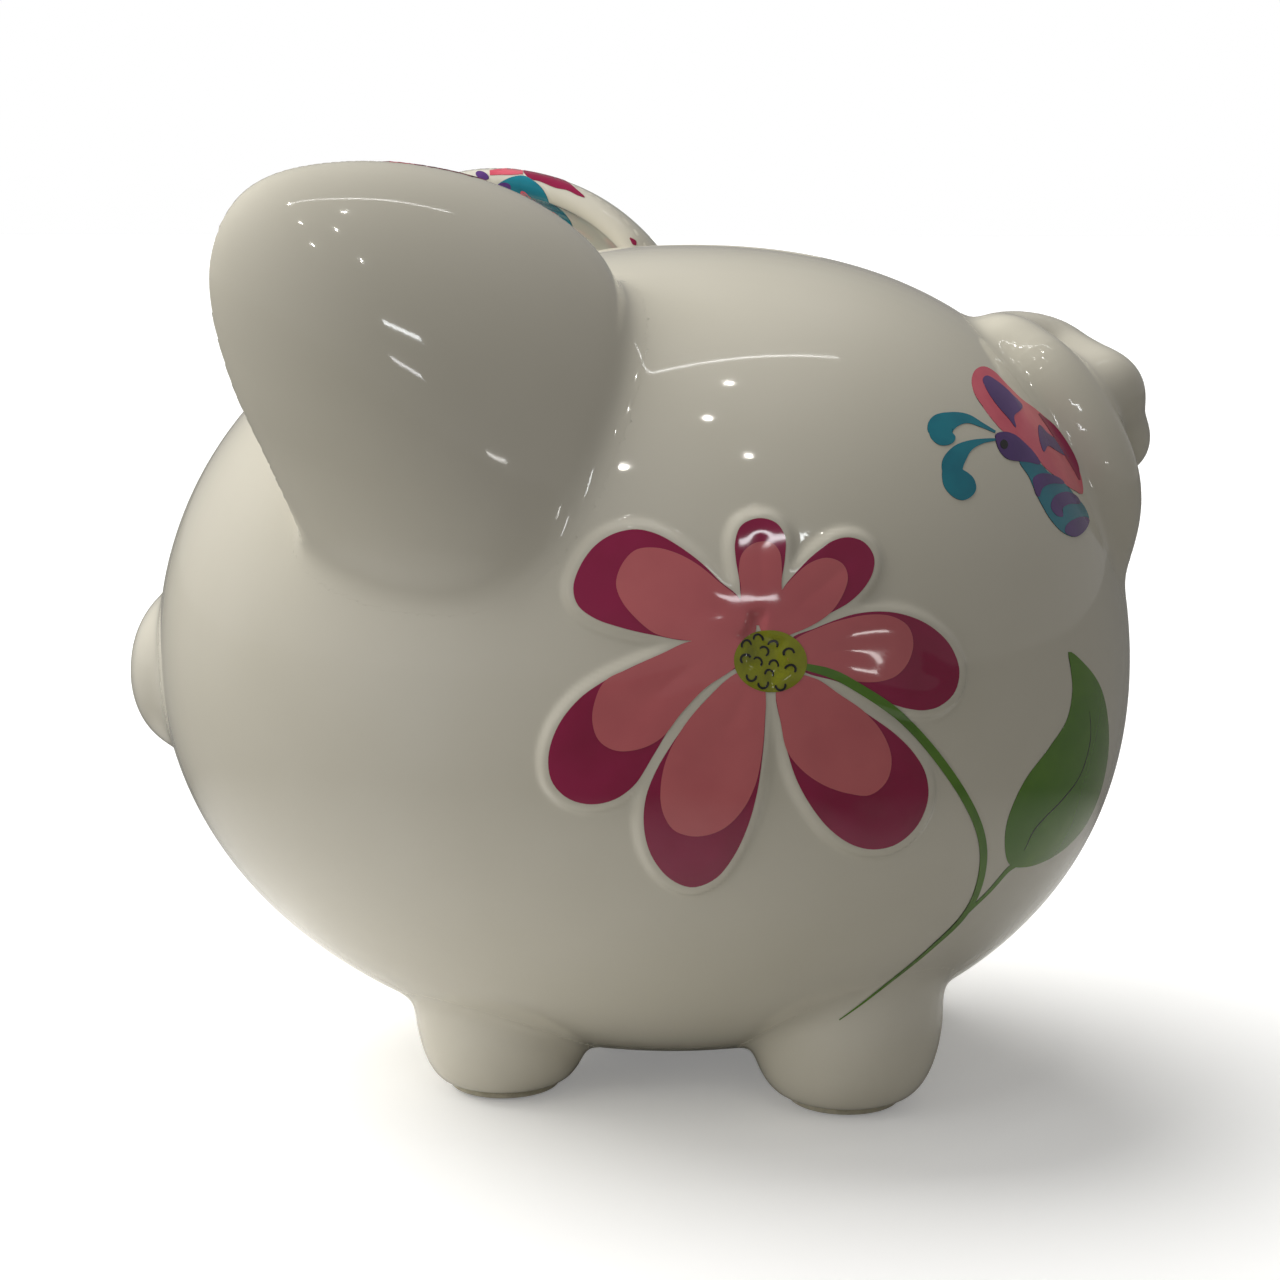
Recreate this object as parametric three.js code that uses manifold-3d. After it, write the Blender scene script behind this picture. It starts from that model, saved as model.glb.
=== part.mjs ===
// A large slip-cast, glazed earthenware piggy bank, as the separate pieces it
// is made from: a hollow body with a coin slot and a belly hole, ears, snout,
// tail and four legs that are cast on their own and joined on before firing,
// a pad under each foot, and a soft plug that closes the belly hole.
//
// Millimetres, +Z up.  The snout points along -Y, the tail along +Y, and the
// pig's left flank faces +X.  The origin is on the ground, under the centre of
// the whole object.
import * as THREE from 'three';
import { mergeVertices } from 'three/addons/utils/BufferGeometryUtils.js';
import Module from 'manifold-3d';

const wasm = await Module();
wasm.setup();

// ---------------------------------------------------------------- dimensions
const GAP = 0.3;                        // clearance left at every joint face

// body: a rounded egg, star-shaped about BODY_CENTRE
const BODY_CENTRE = [0, 5.93, 109.69];
const BODY_HALF = [96.41, 117.43, 97.88];   // half width, length, height
const BODY_SHAPE = [-0.0002, -0.086, 0.0115, -0.0476, -0.0243, -0.0354, 0.0322, -0.0483, 0.008];
const BODY_SKIRT = 0.04;                // fuller low on the flanks
const BELLY_Z = 7.5;                    // height of the flat under the belly
const BELLY_BLEND = 3.0;                // softness of the edge of that flat
const WALL = 4.8;                       // thickness of the cast wall

// coin slot on the top, along the mid-line
const SLOT_LENGTH = 41;
const SLOT_WIDTH = 5;
const SLOT_Y = 22.6;

// hole in the belly and the plug that closes it
const HOLE_Y = 6.6;
const HOLE_RADIUS = 16;
const PLUG_RADIUS = 15.6;
const PLUG_TIP_RADIUS = 14.6;
const PLUG_HEIGHT = 9.5;                // above the flange
const PLUG_HOLLOW = 11.5;               // radius of the cup inside the plug
const FLANGE_RADIUS = 20;
const FLANGE_THICK = 1.9;
const TAB = [11, 2.4, 2.6];             // length, width and drop of the finger tab

// legs: lathe profiles of radius and height above the sole
const PAD_THICK = 1.6;
const PAD_RADIUS = 12.6;
const LEG_SOLE_RADIUS = 13.2;
const LEG_FLARE = 20;                   // height over which the foot rounds out
const LEG_TOP = 48;
const FRONT_LEG = [33, -24.55, 20.6];    // x and y of the axis, and radius
const REAR_LEG = [34, 53.25, 22.0];

// snout: a rounded disc on the front of the head
const SNOUT_Z = 89.5;
const SNOUT_FRONT_Y = -119.15;
const SNOUT_HALF = [23.5, 16, 20.2];    // half width, depth, height
const SNOUT_POWER = 2.25;               // squareness of its profile
const NOSTRIL = [8.6, 3.4, 5.0, 2.6];   // spacing, half width, half height, depth

// ear (left): a deep cupped lobe.  The rim lies in a plane through the ear's
// upper root; U runs down the root, V out to the tip, and the back of the cup
// is at the given depth behind the rim plane.
const EAR_ROOT = [41.55, 1.72, 182.2];
const EAR_U = [0.39572, -0.67947, -0.61784];
const EAR_V = [0.35696, -0.50606, 0.78516];
const EAR_N = [-0.84616, -0.53125, 0.04229];   // out of the open side
const EAR_CENTRE = [54, -14];
const EAR_RIM = [
  [-0.1, 1.3], [-0.9, 9.9], [1.1, 18.8], [5.2, 28.3], [11.9, 38.5], [21.7, 49.2],
  [30.6, 56.6], [39.3, 62.0], [46.0, 64.9], [52.5, 65.5], [58.7, 63.6], [64.3, 59.3],
  [69.2, 52.9], [73.1, 45.1], [76.3, 36.9], [79.8, 24.4], [83.2, 12.4], [86.4, 0],
  [87, -14], [82, -31], [69, -44], [51, -48], [30, -43], [13, -30], [2.5, -13],
];
const EAR_DEPTH = 36;                   // of the middle of the wall
const EAR_BOWL = 1.3;                   // 1 is an ellipse, more is a sharper cone
const EAR_THICK = 6.6;                  // at the rim
const EAR_THICK_BACK = 8.4;             // at the back of the cup

// tail: a curl on the rump.  Stations of sideways, upward and outward distance
// on the rump, and radius.
const TAIL_ANGLE = 25.8;                // degrees above level of the curl's centre
const TAIL_REACH = 112;
const TAIL = [
  [10, -45.5, -9.5, 8.6], [13, -33.5, -3.4, 9.8], [15.5, -20, 0.2, 10.2], [15.5, -5, 1.4, 10], [11, 9, 2.0, 10],
  [0, 17, 2.4, 9.8], [-11, 9, 5.4, 9.6], [-13, -4, 7.2, 9.2], [-6, -13, 7.8, 8.6],
];
const TAIL_TIP = [2.5, -5, 8.8, 10.6];  // domed end of the curl in its centre

// ----------------------------------------------------------------- materials
const glaze = () => new THREE.MeshStandardMaterial({ color: 0xe9e6dc, roughness: 0.12, metalness: 0 });
const padMaterial = () => new THREE.MeshStandardMaterial({ color: 0xcfcab8, roughness: 0.85, metalness: 0 });
const plugMaterial = () => new THREE.MeshStandardMaterial({ color: 0xdedbd2, roughness: 0.5, metalness: 0 });

// ------------------------------------------------------------------- helpers
function solid(geometry) {
  const g = geometry.clone();
  for (const name of Object.keys(g.attributes)) if (name !== 'position') g.deleteAttribute(name);
  const m = mergeVertices(g, 1e-4);
  return new wasm.Manifold(new wasm.Mesh({
    numProp: 3,
    vertProperties: Float32Array.from(m.attributes.position.array),
    triVerts: Uint32Array.from(m.index.array),
  }));
}

function surface(manifold) {
  const mesh = manifold.getMesh();
  const g = new THREE.BufferGeometry();
  g.setAttribute('position', new THREE.BufferAttribute(Float32Array.from(mesh.vertProperties), 3));
  g.setIndex(new THREE.BufferAttribute(Uint32Array.from(mesh.triVerts), 1));
  return g;
}

// the same solid on the pig's other side
function mirrored(geometry) {
  const g = geometry.clone();
  g.scale(-1, 1, 1);
  const index = g.index.array;
  for (let i = 0; i < index.length; i += 3) [index[i], index[i + 1]] = [index[i + 1], index[i]];
  return g;
}

function place(name, geometry, material, at = [0, 0, 0]) {
  const g = geometry.clone();
  g.translate(-at[0], -at[1], -at[2]);
  g.computeVertexNormals();
  const mesh = new THREE.Mesh(g, material);
  mesh.name = name;
  mesh.position.set(...at);
  return mesh;
}

// ---------------------------------------------------------------------- body
function bodyRadius(x, y, z) {
  const [b, a, c] = BODY_HALF;
  const k = BODY_SHAPE;
  const e = 1 / Math.hypot(x / b, y / a, z / c);
  const X = x * e / b, Y = y * e / a, Z = z * e / c;
  const p = 1 + k[0] * Y + k[1] * Z + k[2] * Y * Z + k[3] * (Y ** 4 + Z ** 4) + k[4] * Y ** 3
    + k[5] * Y * Y * Z + k[6] * Y * Z * Z + k[7] * Z ** 3 + k[8] * Y * Y * Z * Z - BODY_SKIRT * X * X * Z;
  let r = e * p;
  if (z < -0.5) {                        // soft minimum with the belly plane
    const flat = (BODY_CENTRE[2] - BELLY_Z) / -z;
    const h = Math.max(BELLY_BLEND - Math.abs(r - flat), 0) / BELLY_BLEND;
    r = Math.min(r, flat) - h * h * BELLY_BLEND / 4;
  }
  return r;
}

// an egg whose surface is `offset` outside the body's
function bodyGeometry(offset, around, high) {
  const g = new THREE.SphereGeometry(1, around, high);
  g.rotateX(Math.PI / 2);
  const p = g.attributes.position;
  const v = new THREE.Vector3();
  for (let i = 0; i < p.count; i++) {
    v.fromBufferAttribute(p, i).normalize();
    const r = bodyRadius(v.x, v.y, v.z) + offset;
    p.setXYZ(i, BODY_CENTRE[0] + v.x * r, BODY_CENTRE[1] + v.y * r, BODY_CENTRE[2] + v.z * r);
  }
  return g;
}

const bodyCutter = solid(bodyGeometry(GAP + 0.02, 48, 30));

function bodyShell() {
  const slotShape = new THREE.Shape();
  const s = SLOT_LENGTH / 2 - SLOT_WIDTH / 2, w = SLOT_WIDTH / 2;
  slotShape.moveTo(-w, -s);
  slotShape.absarc(0, -s, w, Math.PI, 2 * Math.PI, false);
  slotShape.lineTo(w, s);
  slotShape.absarc(0, s, w, 0, Math.PI, false);
  slotShape.lineTo(-w, -s);
  const slot = new THREE.ExtrudeGeometry(slotShape, { depth: 60, bevelEnabled: false, curveSegments: 6 });
  slot.translate(0, SLOT_Y, BODY_CENTRE[2] + 50);
  const hole = new THREE.CylinderGeometry(HOLE_RADIUS, HOLE_RADIUS, 50, 32);
  hole.rotateX(Math.PI / 2);
  hole.translate(0, HOLE_Y, BELLY_Z);
  return solid(bodyGeometry(0, 48, 30))
    .subtract(solid(bodyGeometry(-WALL, 32, 20)))
    .subtract(solid(slot))
    .subtract(solid(hole));
}

// ----------------------------------------------------------------------- ear
// A sphere's vertices are moved onto the cup: its upper half becomes the back,
// a band at its equator the rounded rim, its lower half the inside.
function earGeometry(around = 36, high = 20) {
  const rim = new THREE.CatmullRomCurve3(EAR_RIM.map(([u, v]) => new THREE.Vector3(u, v, 0)), true, 'centripetal');
  const rimPoints = rim.getSpacedPoints(around);
  const centre = new THREE.Vector3(EAR_CENTRE[0], EAR_CENTRE[1], 0);
  const g = new THREE.SphereGeometry(1, around, high);
  const p = g.attributes.position;
  const root = new THREE.Vector3(...EAR_ROOT), U = new THREE.Vector3(...EAR_U);
  const V = new THREE.Vector3(...EAR_V), N = new THREE.Vector3(...EAR_N);
  const q = new THREE.Vector3(), out = new THREE.Vector3();
  const bowl = (reach, a) => [reach * Math.sin(a), EAR_DEPTH * Math.max(0, Math.cos(a)) ** EAR_BOWL];
  for (let row = 0; row <= high; row++) {
    const s = row / high;
    for (let col = 0; col <= around; col++) {
      out.copy(rimPoints[col % around]).sub(centre);
      const reach = out.length() - EAR_THICK / 2;      // to the middle of the rim
      out.normalize();
      // the angle along the bowl, and the side of its wall
      let a, turn;
      if (s < 0.42) [a, turn] = [s / 0.42 * Math.PI / 2, 0];
      else if (s <= 0.58) [a, turn] = [Math.PI / 2, (s - 0.42) / 0.16 * Math.PI];
      else [a, turn] = [(1 - s) / 0.42 * Math.PI / 2, Math.PI];
      const [r0, d0] = bowl(reach, Math.max(a - 0.02, 0));
      const [r1, d1] = bowl(reach, Math.min(a + 0.02, Math.PI / 2));
      const length = Math.hypot(r1 - r0, d1 - d0);
      const tangent = [(r1 - r0) / length, (d1 - d0) / length];
      const normal = [-tangent[1], tangent[0]];
      const [rm, dm] = bowl(reach, a);
      const half = (EAR_THICK + (EAR_THICK_BACK - EAR_THICK) * Math.cos(a)) / 2;
      let radius = rm + half * (Math.cos(turn) * normal[0] + Math.sin(turn) * tangent[0]);
      let depth = dm + half * (Math.cos(turn) * normal[1] + Math.sin(turn) * tangent[1]);
      if (row === 0 || row === high) [radius, depth] = [0, EAR_DEPTH + (row === 0 ? half : -half)];
      q.copy(root)
        .addScaledVector(U, centre.x + out.x * radius)
        .addScaledVector(V, centre.y + out.y * radius)
        .addScaledVector(N, -depth);
      p.setXYZ(row * (around + 1) + col, q.x, q.y, q.z);
    }
  }
  return g;
}

function rightWay(geometry) {
  // makes sure that the faces point outwards
  const m = solid(geometry);
  if (m.volume() > 0) return m;
  const g = geometry.clone();
  const index = g.index.array;
  for (let i = 0; i < index.length; i += 3) [index[i], index[i + 1]] = [index[i + 1], index[i]];
  return solid(g);
}

// ---------------------------------------------------------------------- tail
function onRump(a, b, h) {
  const t = THREE.MathUtils.degToRad(TAIL_ANGLE);
  const n = new THREE.Vector3(a / TAIL_REACH, Math.cos(t) - Math.sin(t) * b / TAIL_REACH,
    Math.sin(t) + Math.cos(t) * b / TAIL_REACH).normalize();
  const r = bodyRadius(n.x, n.y, n.z) + h;
  return n.multiplyScalar(r).add(new THREE.Vector3(...BODY_CENTRE));
}

// A sphere drawn out along the curl: each ring of it sits on one station.
function tailGeometry(around = 12, steps = 28) {
  const curve = new THREE.CatmullRomCurve3(TAIL.map(([a, b, h]) => onRump(a, b, h)), false, 'centripetal');
  const radii = new THREE.CatmullRomCurve3(TAIL.map(([, , , r], i) => new THREE.Vector3(i, r, 0)), false, 'centripetal');
  const g = new THREE.SphereGeometry(1, around, steps);
  const p = g.attributes.position;
  const length = curve.getLength();
  const up = new THREE.Vector3(), side = new THREE.Vector3(), q = new THREE.Vector3();
  for (let row = 0; row <= steps; row++) {
    // the ends are domes, as long as the end radius
    const t = row / steps;
    const at = 0.5 - 0.5 * Math.cos(Math.PI * Math.min(Math.max(t, 0), 1));
    const u = THREE.MathUtils.clamp(at, 0, 1);
    const centre = curve.getPoint(u);
    const tangent = curve.getTangent(u);
    const r = radii.getPoint(u).y;
    const d0 = u * length, d1 = (1 - u) * length;
    const end = Math.min(d0, d1, r);
    const scale = Math.sqrt(Math.max(0, 1 - ((r - end) / r) ** 2));
    up.copy(centre).sub(new THREE.Vector3(...BODY_CENTRE)).normalize();
    side.crossVectors(tangent, up).normalize();
    up.crossVectors(side, tangent).normalize();
    for (let col = 0; col <= around; col++) {
      const f = 2 * Math.PI * col / around;
      q.copy(centre).addScaledVector(side, r * scale * Math.cos(f)).addScaledVector(up, r * scale * Math.sin(f));
      p.setXYZ(row * (around + 1) + col, q.x, q.y, q.z);
    }
  }
  return g;
}

function tail() {
  const tip = new THREE.SphereGeometry(TAIL_TIP[3], 16, 10);
  const c = onRump(TAIL_TIP[0], TAIL_TIP[1], TAIL_TIP[2]);
  tip.translate(c.x, c.y, c.z);
  return rightWay(tailGeometry()).add(solid(tip)).subtract(bodyCutter);
}

// --------------------------------------------------------------------- snout
function snout() {
  const points = [];
  const steps = 8;
  for (let i = 0; i <= steps; i++) {
    const t = i / steps * Math.PI / 2;
    points.push(new THREE.Vector2(Math.sin(t) ** (2 / SNOUT_POWER), Math.cos(t) ** (2 / SNOUT_POWER)));
  }
  points[0].x = 0;
  points.reverse();
  points.unshift(new THREE.Vector2(1, -1.0), new THREE.Vector2(1, -0.4));
  points.unshift(new THREE.Vector2(0, -1.0));
  const g = new THREE.LatheGeometry(points, 28);
  g.scale(SNOUT_HALF[0], SNOUT_HALF[1], SNOUT_HALF[2]);
  g.rotateZ(Math.PI);                    // the rounded end faces -Y
  g.translate(0, SNOUT_FRONT_Y + SNOUT_HALF[1], SNOUT_Z);
  let s = rightWay(g);
  for (const side of [-1, 1]) {
    const n = new THREE.SphereGeometry(1, 12, 8);
    n.scale(NOSTRIL[1], NOSTRIL[3], NOSTRIL[2]);
    n.translate(side * NOSTRIL[0], SNOUT_FRONT_Y + 0.3, SNOUT_Z + 1);
    s = s.subtract(solid(n));
  }
  return s.subtract(bodyCutter);
}

// ---------------------------------------------------------------------- legs
function leg([x, y, radius]) {
  const z0 = PAD_THICK + GAP;
  const points = [new THREE.Vector2(0, z0), new THREE.Vector2(LEG_SOLE_RADIUS, z0)];
  const steps = 6;
  for (let i = 1; i <= steps; i++) {
    const t = i / steps * Math.PI / 2;
    points.push(new THREE.Vector2(
      LEG_SOLE_RADIUS + (radius - LEG_SOLE_RADIUS) * Math.sin(t),
      z0 + LEG_FLARE * (1 - Math.cos(t))));
  }
  points.push(new THREE.Vector2(radius, LEG_TOP), new THREE.Vector2(0, LEG_TOP));
  const g = new THREE.LatheGeometry(points, 24);
  g.rotateX(Math.PI / 2);
  g.translate(x, y, 0);
  return rightWay(g).subtract(bodyCutter);
}

function pad() {
  const g = new THREE.CylinderGeometry(PAD_RADIUS, PAD_RADIUS, PAD_THICK, 24);
  g.rotateX(Math.PI / 2);
  g.translate(0, 0, PAD_THICK / 2);
  return surface(solid(g));
}

// ------------------------------------------------------------------- stopper
function stopper() {
  const top = BELLY_Z - GAP;
  const points = [
    new THREE.Vector2(0, top - FLANGE_THICK),
    new THREE.Vector2(FLANGE_RADIUS - 0.8, top - FLANGE_THICK),
    new THREE.Vector2(FLANGE_RADIUS, top - FLANGE_THICK + 0.7),
    new THREE.Vector2(FLANGE_RADIUS, top),
    new THREE.Vector2(PLUG_RADIUS, top),
    new THREE.Vector2(PLUG_RADIUS, top + 5.5),
    new THREE.Vector2(PLUG_TIP_RADIUS, top + PLUG_HEIGHT),
    new THREE.Vector2(PLUG_HOLLOW, top + PLUG_HEIGHT),
    new THREE.Vector2(PLUG_HOLLOW - 0.8, top + 1.2),
    new THREE.Vector2(0, top + 1.2),
  ];
  const g = new THREE.LatheGeometry(points, 28);
  g.rotateX(Math.PI / 2);
  const tab = new THREE.BoxGeometry(TAB[0], TAB[1], TAB[2] + 1);
  tab.translate(0, 0, top - FLANGE_THICK - TAB[2] / 2 + 0.5);
  const m = rightWay(g).add(solid(tab));
  return surface(m);
}

// ------------------------------------------------------------------ assembly
const bank = new THREE.Group();
bank.name = 'piggy_bank';

bank.add(place('body_shell', surface(bodyShell()), glaze()));

const earLeft = surface(rightWay(earGeometry()).subtract(bodyCutter));
bank.add(place('ear_left', earLeft, glaze(), EAR_ROOT));
bank.add(place('ear_right', mirrored(earLeft), glaze(), [-EAR_ROOT[0], EAR_ROOT[1], EAR_ROOT[2]]));

bank.add(place('snout', surface(snout()), glaze(), [0, SNOUT_FRONT_Y, SNOUT_Z]));
bank.add(place('tail', surface(tail()), glaze(), onRump(0, 0, 0).toArray()));

for (const [name, at] of [['front', FRONT_LEG], ['rear', REAR_LEG]]) {
  const left = surface(leg(at));
  bank.add(place(`leg_${name}_left`, left, glaze(), [at[0], at[1], 0]));
  bank.add(place(`leg_${name}_right`, mirrored(left), glaze(), [-at[0], at[1], 0]));
  for (const side of [1, -1]) {
    const mesh = place(`foot_pad_${name}_${side > 0 ? 'left' : 'right'}`, pad(), padMaterial());
    mesh.position.set(side * at[0], at[1], 0);
    bank.add(mesh);
  }
}

const plug = place('stopper', stopper(), plugMaterial());
plug.position.set(0, HOLE_Y, 0);
bank.add(plug);

export default bank;
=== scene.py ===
# Glazed piggy bank: the visible model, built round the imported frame.
# Shapes are worked out in millimetres and written to Blender in metres.
import math
import bpy
import numpy as np
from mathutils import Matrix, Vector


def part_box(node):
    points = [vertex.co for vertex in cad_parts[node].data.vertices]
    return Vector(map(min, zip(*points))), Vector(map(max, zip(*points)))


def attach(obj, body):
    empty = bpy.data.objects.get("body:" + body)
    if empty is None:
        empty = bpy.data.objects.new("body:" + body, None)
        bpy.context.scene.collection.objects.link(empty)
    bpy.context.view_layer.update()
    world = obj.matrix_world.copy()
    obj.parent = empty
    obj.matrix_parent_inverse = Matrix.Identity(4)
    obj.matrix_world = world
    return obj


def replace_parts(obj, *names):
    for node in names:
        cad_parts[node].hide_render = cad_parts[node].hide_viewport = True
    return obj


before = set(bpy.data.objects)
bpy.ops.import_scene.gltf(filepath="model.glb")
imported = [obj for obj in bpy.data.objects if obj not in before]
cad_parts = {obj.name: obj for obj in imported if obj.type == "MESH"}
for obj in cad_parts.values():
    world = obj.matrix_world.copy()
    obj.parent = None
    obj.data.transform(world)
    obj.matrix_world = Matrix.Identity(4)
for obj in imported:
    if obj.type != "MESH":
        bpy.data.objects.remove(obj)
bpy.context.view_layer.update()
FINE = 1.0

# ------------------------------------------------------------ the pig's form
C = np.array([0.0, 5.93, 109.69])
HALF = (96.41, 117.43, 97.88)
SHAPE = (-0.0002, -0.086, 0.0115, -0.0476, -0.0243, -0.0354, 0.0322, -0.0483, 0.008)
SKIRT = 0.04
BELLY_Z = 7.5
WALL = 4.8
SLOT_Y, SLOT_HALF, SLOT_R, SLOT_LIP = 22.6, 18.0, 2.5, 1.9
HOLE_Y, HOLE_R, HOLE_LIP = 6.6, 16.0, 1.3


def unit(v):
    return v / np.maximum(np.linalg.norm(v, axis=-1, keepdims=True), 1e-12)


def smooth(t):
    t = np.clip(t, 0, 1)
    return t * t * t * (t * (6 * t - 15) + 10)


def smin(a, b, k):
    h = np.maximum(k - np.abs(a - b), 0) / k
    return np.minimum(a, b) - h * h * h * k / 6


def radius(n):
    x, y, z = n[..., 0], n[..., 1], n[..., 2]
    b, a, c = HALF
    k = SHAPE
    e = 1 / np.sqrt((x / b) ** 2 + (y / a) ** 2 + (z / c) ** 2)
    X, Y, Z = x * e / b, y * e / a, z * e / c
    r = e * (1 + k[0] * Y + k[1] * Z + k[2] * Y * Z + k[3] * (Y ** 4 + Z ** 4) + k[4] * Y ** 3
             + k[5] * Y * Y * Z + k[6] * Y * Z * Z + k[7] * Z ** 3 + k[8] * Y * Y * Z * Z - SKIRT * X * X * Z)
    flat = (C[2] - BELLY_Z) / np.maximum(-z, 1e-3)
    low = smin(r, flat, 4.0)
    return np.where(z < -0.5, low, r)


def chart(o, w):
    """A flat drawing board that touches the glaze at o, with its normal w."""
    o, w = np.array(o, float), unit(np.array(w, float))
    e1 = unit(np.cross([0, 0, 1.0], w))
    return o, e1, np.cross(w, e1), w


EYE_AT, AIM_AT = np.array([586.66, 74.68, 201.16]), np.array([0.0, 2.65, 98.0])
FLOWER = chart((92.11, 39.71, 110.54), (0.9604, 0.2463, 0.13))
LEAF = chart((54.6, 97.57, 81.63), (0.5909, 0.7922, -0.1526))

# ------------------------------------------------------- painted flower, in mm
PETALS = [   # (outer shape, inner shape)
    ([(-38.1, 14.9), (-36.9, 18.8), (-33.9, 23), (-30.1, 25.5), (-25.6, 26.4), (-21.7, 25.5), (-17.7, 23.2), (-13, 19.5), (-9.6, 15.9), (-5.8, 12.3), (-6, 6.9), (-15.4, 4.4), (-22.5, 5.5), (-29, 7.1), (-34.3, 9.1), (-37.3, 11.6)],
     [(-29.8, 15.7), (-28.6, 19.4), (-25.8, 22.3), (-21.9, 22.7), (-17.7, 21.5), (-13.6, 19.1), (-9.6, 15.6), (-5.6, 12.1), (-2.5, 6.8), (-5.2, 3), (-15.4, 4.3), (-20.7, 5.2), (-23.1, 6.2), (-26, 8.7), (-28.8, 12.3)]),
    ([(-6.2, 23.7), (-4.8, 26.8), (-1.2, 28.2), (2.2, 27.2), (3.8, 24.5), (3.6, 20.5), (2.6, 15.7), (1.9, 12), (-4.9, 11.5), (-5.8, 16.5), (-6.3, 20.7)],
     [(-5.8, 17.7), (-5, 21.2), (-2.3, 23.3), (1, 23.3), (2.5, 21.5), (2.8, 18.1), (2.6, 15.1), (2.1, 8), (-5.5, 8), (-5.5, 14.7)]),
    ([(2.5, 13.6), (5.8, 17.5), (9.7, 21), (13.7, 23.5), (16.9, 24.1), (20.1, 23), (21.9, 20.2), (21.5, 17.1), (19.5, 14), (16.2, 11.2), (12.3, 9.2), (7.9, 7.1), (4.1, 5.4), (0, 6)],
     [(2.5, 13.8), (5.1, 16.5), (8.4, 19.1), (12.2, 20.1), (15.3, 18.8), (16.2, 16.3), (15, 12.8), (12.3, 9.3), (8.5, 6.9), (4.1, 5.2), (0, 4), (-2, 8)]),
    ([(4.1, 4.2), (9.1, 6.3), (13.6, 7.9), (18, 9), (23.9, 9.2), (29.1, 8.1), (33.8, 5.8), (37.8, 2), (39.8, -3), (38.8, -7.4), (35.7, -10), (32.3, -10.8), (28.3, -10.3), (23, -8.5), (17.8, -6.2), (13, -4.2), (7, -2.4), (4, 0)],
     [(4.3, 3.6), (10.4, 6.6), (15.5, 8), (20.6, 8.7), (25.2, 8.2), (28.5, 6.2), (29.6, 2.9), (28.6, -0.8), (25.9, -3.6), (21.7, -4.7), (16.5, -4.3), (11.5, -3), (6.5, -1.8), (3.5, 0)]),
    ([(1.2, -5.6), (2.1, -12.8), (3.5, -18.4), (5.5, -24), (8.9, -29.8), (12.9, -34.5), (17.7, -37.9), (22.4, -39.2), (27.3, -38.4), (31.5, -34.9), (33.6, -29.4), (32.8, -24), (29.9, -19.4), (25.7, -15.3), (19.8, -11.1), (14, -7.2), (8.9, -3.8), (5.2, -3)],
     [(1.2, -5.2), (2.1, -12.8), (3.4, -18), (6.6, -22), (11.2, -25.2), (16.4, -27.1), (20.9, -27.6), (24.3, -24.9), (25.1, -20.4), (23.1, -15.2), (19.1, -10.6), (14, -7), (8.9, -3.6), (4, -2.8)]),
    ([(-1.3, -5.3), (-1.2, -12.7), (-1.6, -18.8), (-2.5, -26.3), (-4.1, -33.2), (-6.7, -39.6), (-10, -44.1), (-14.5, -45.9), (-19, -44), (-22.8, -39.3), (-24.6, -33.5), (-24.5, -27.1), (-22.6, -21.5), (-19.1, -15.4), (-15.5, -10.5), (-11.9, -6.6), (-7, -2.4), (-3.4, -1.9)],
     [(-1.3, -5.1), (-1.3, -12.7), (-1.8, -18.8), (-2.9, -24.6), (-5.5, -30), (-9.3, -33.7), (-14.2, -35), (-18.7, -33.6), (-21.1, -29.7), (-21.6, -24.6), (-20.4, -18.6), (-17.3, -12.7), (-13.1, -7.6), (-7, -2.3), (-3.4, -1.7)]),
    ([(-15.4, 4.3), (-21.4, 1.9), (-28, -1), (-32.7, -3.4), (-37.5, -6.9), (-41.5, -12.1), (-43.4, -18.1), (-42.8, -23.3), (-39.9, -26.7), (-35.7, -28.1), (-30.9, -27.3), (-26.8, -24.3), (-23.3, -18.6), (-19.7, -12.5), (-15.5, -7.2), (-10.7, -3), (-6, -0.4), (-6, 3.3)],
     [(-15.4, 4.3), (-21.4, 1.9), (-27.4, -0.8), (-32.5, -3.4), (-34.5, -7.6), (-34.9, -11.5), (-33.6, -15.2), (-30.4, -17.2), (-25.7, -16.9), (-21.5, -14.7), (-17.7, -9.9), (-13.1, -5.1), (-6.4, -0.3), (-5, 3.9)]),
]
EYE = (7.3, 6.1)                          # the flower's centre, half width and height


def loop(points, m):
    """m points evenly along a smooth closed curve through the given points."""
    p = np.array(points, float)
    n = len(p)
    step = np.sqrt(np.linalg.norm(np.roll(p, -1, 0) - p, axis=1))
    t = np.concatenate([[0], np.cumsum(step)])
    out = []
    for i in range(n):
        p0, p1, p2, p3 = p[i - 1], p[i], p[(i + 1) % n], p[(i + 2) % n]
        d0, d1, d2 = step[i - 1], step[i], step[(i + 1) % n]
        m1 = (p1 - p0) / d0 - (p2 - p0) / (d0 + d1) + (p2 - p1) / d1
        m2 = (p2 - p1) / d1 - (p3 - p1) / (d1 + d2) + (p3 - p2) / d2
        s = np.linspace(0, 1, 16, endpoint=False)[:, None]
        out.append((2 * s ** 3 - 3 * s ** 2 + 1) * p1 + (s ** 3 - 2 * s ** 2 + s) * m1 * d1
                   + (-2 * s ** 3 + 3 * s ** 2) * p2 + (s ** 3 - s ** 2) * m2 * d1)
    q = np.vstack(out)
    q = np.vstack([q, q[:1]])
    length = np.concatenate([[0], np.cumsum(np.linalg.norm(np.diff(q, axis=0), axis=1))])
    want = np.linspace(0, length[-1], m, endpoint=False)
    return np.stack([np.interp(want, length, q[:, i]) for i in range(q.shape[1])], 1)


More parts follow.
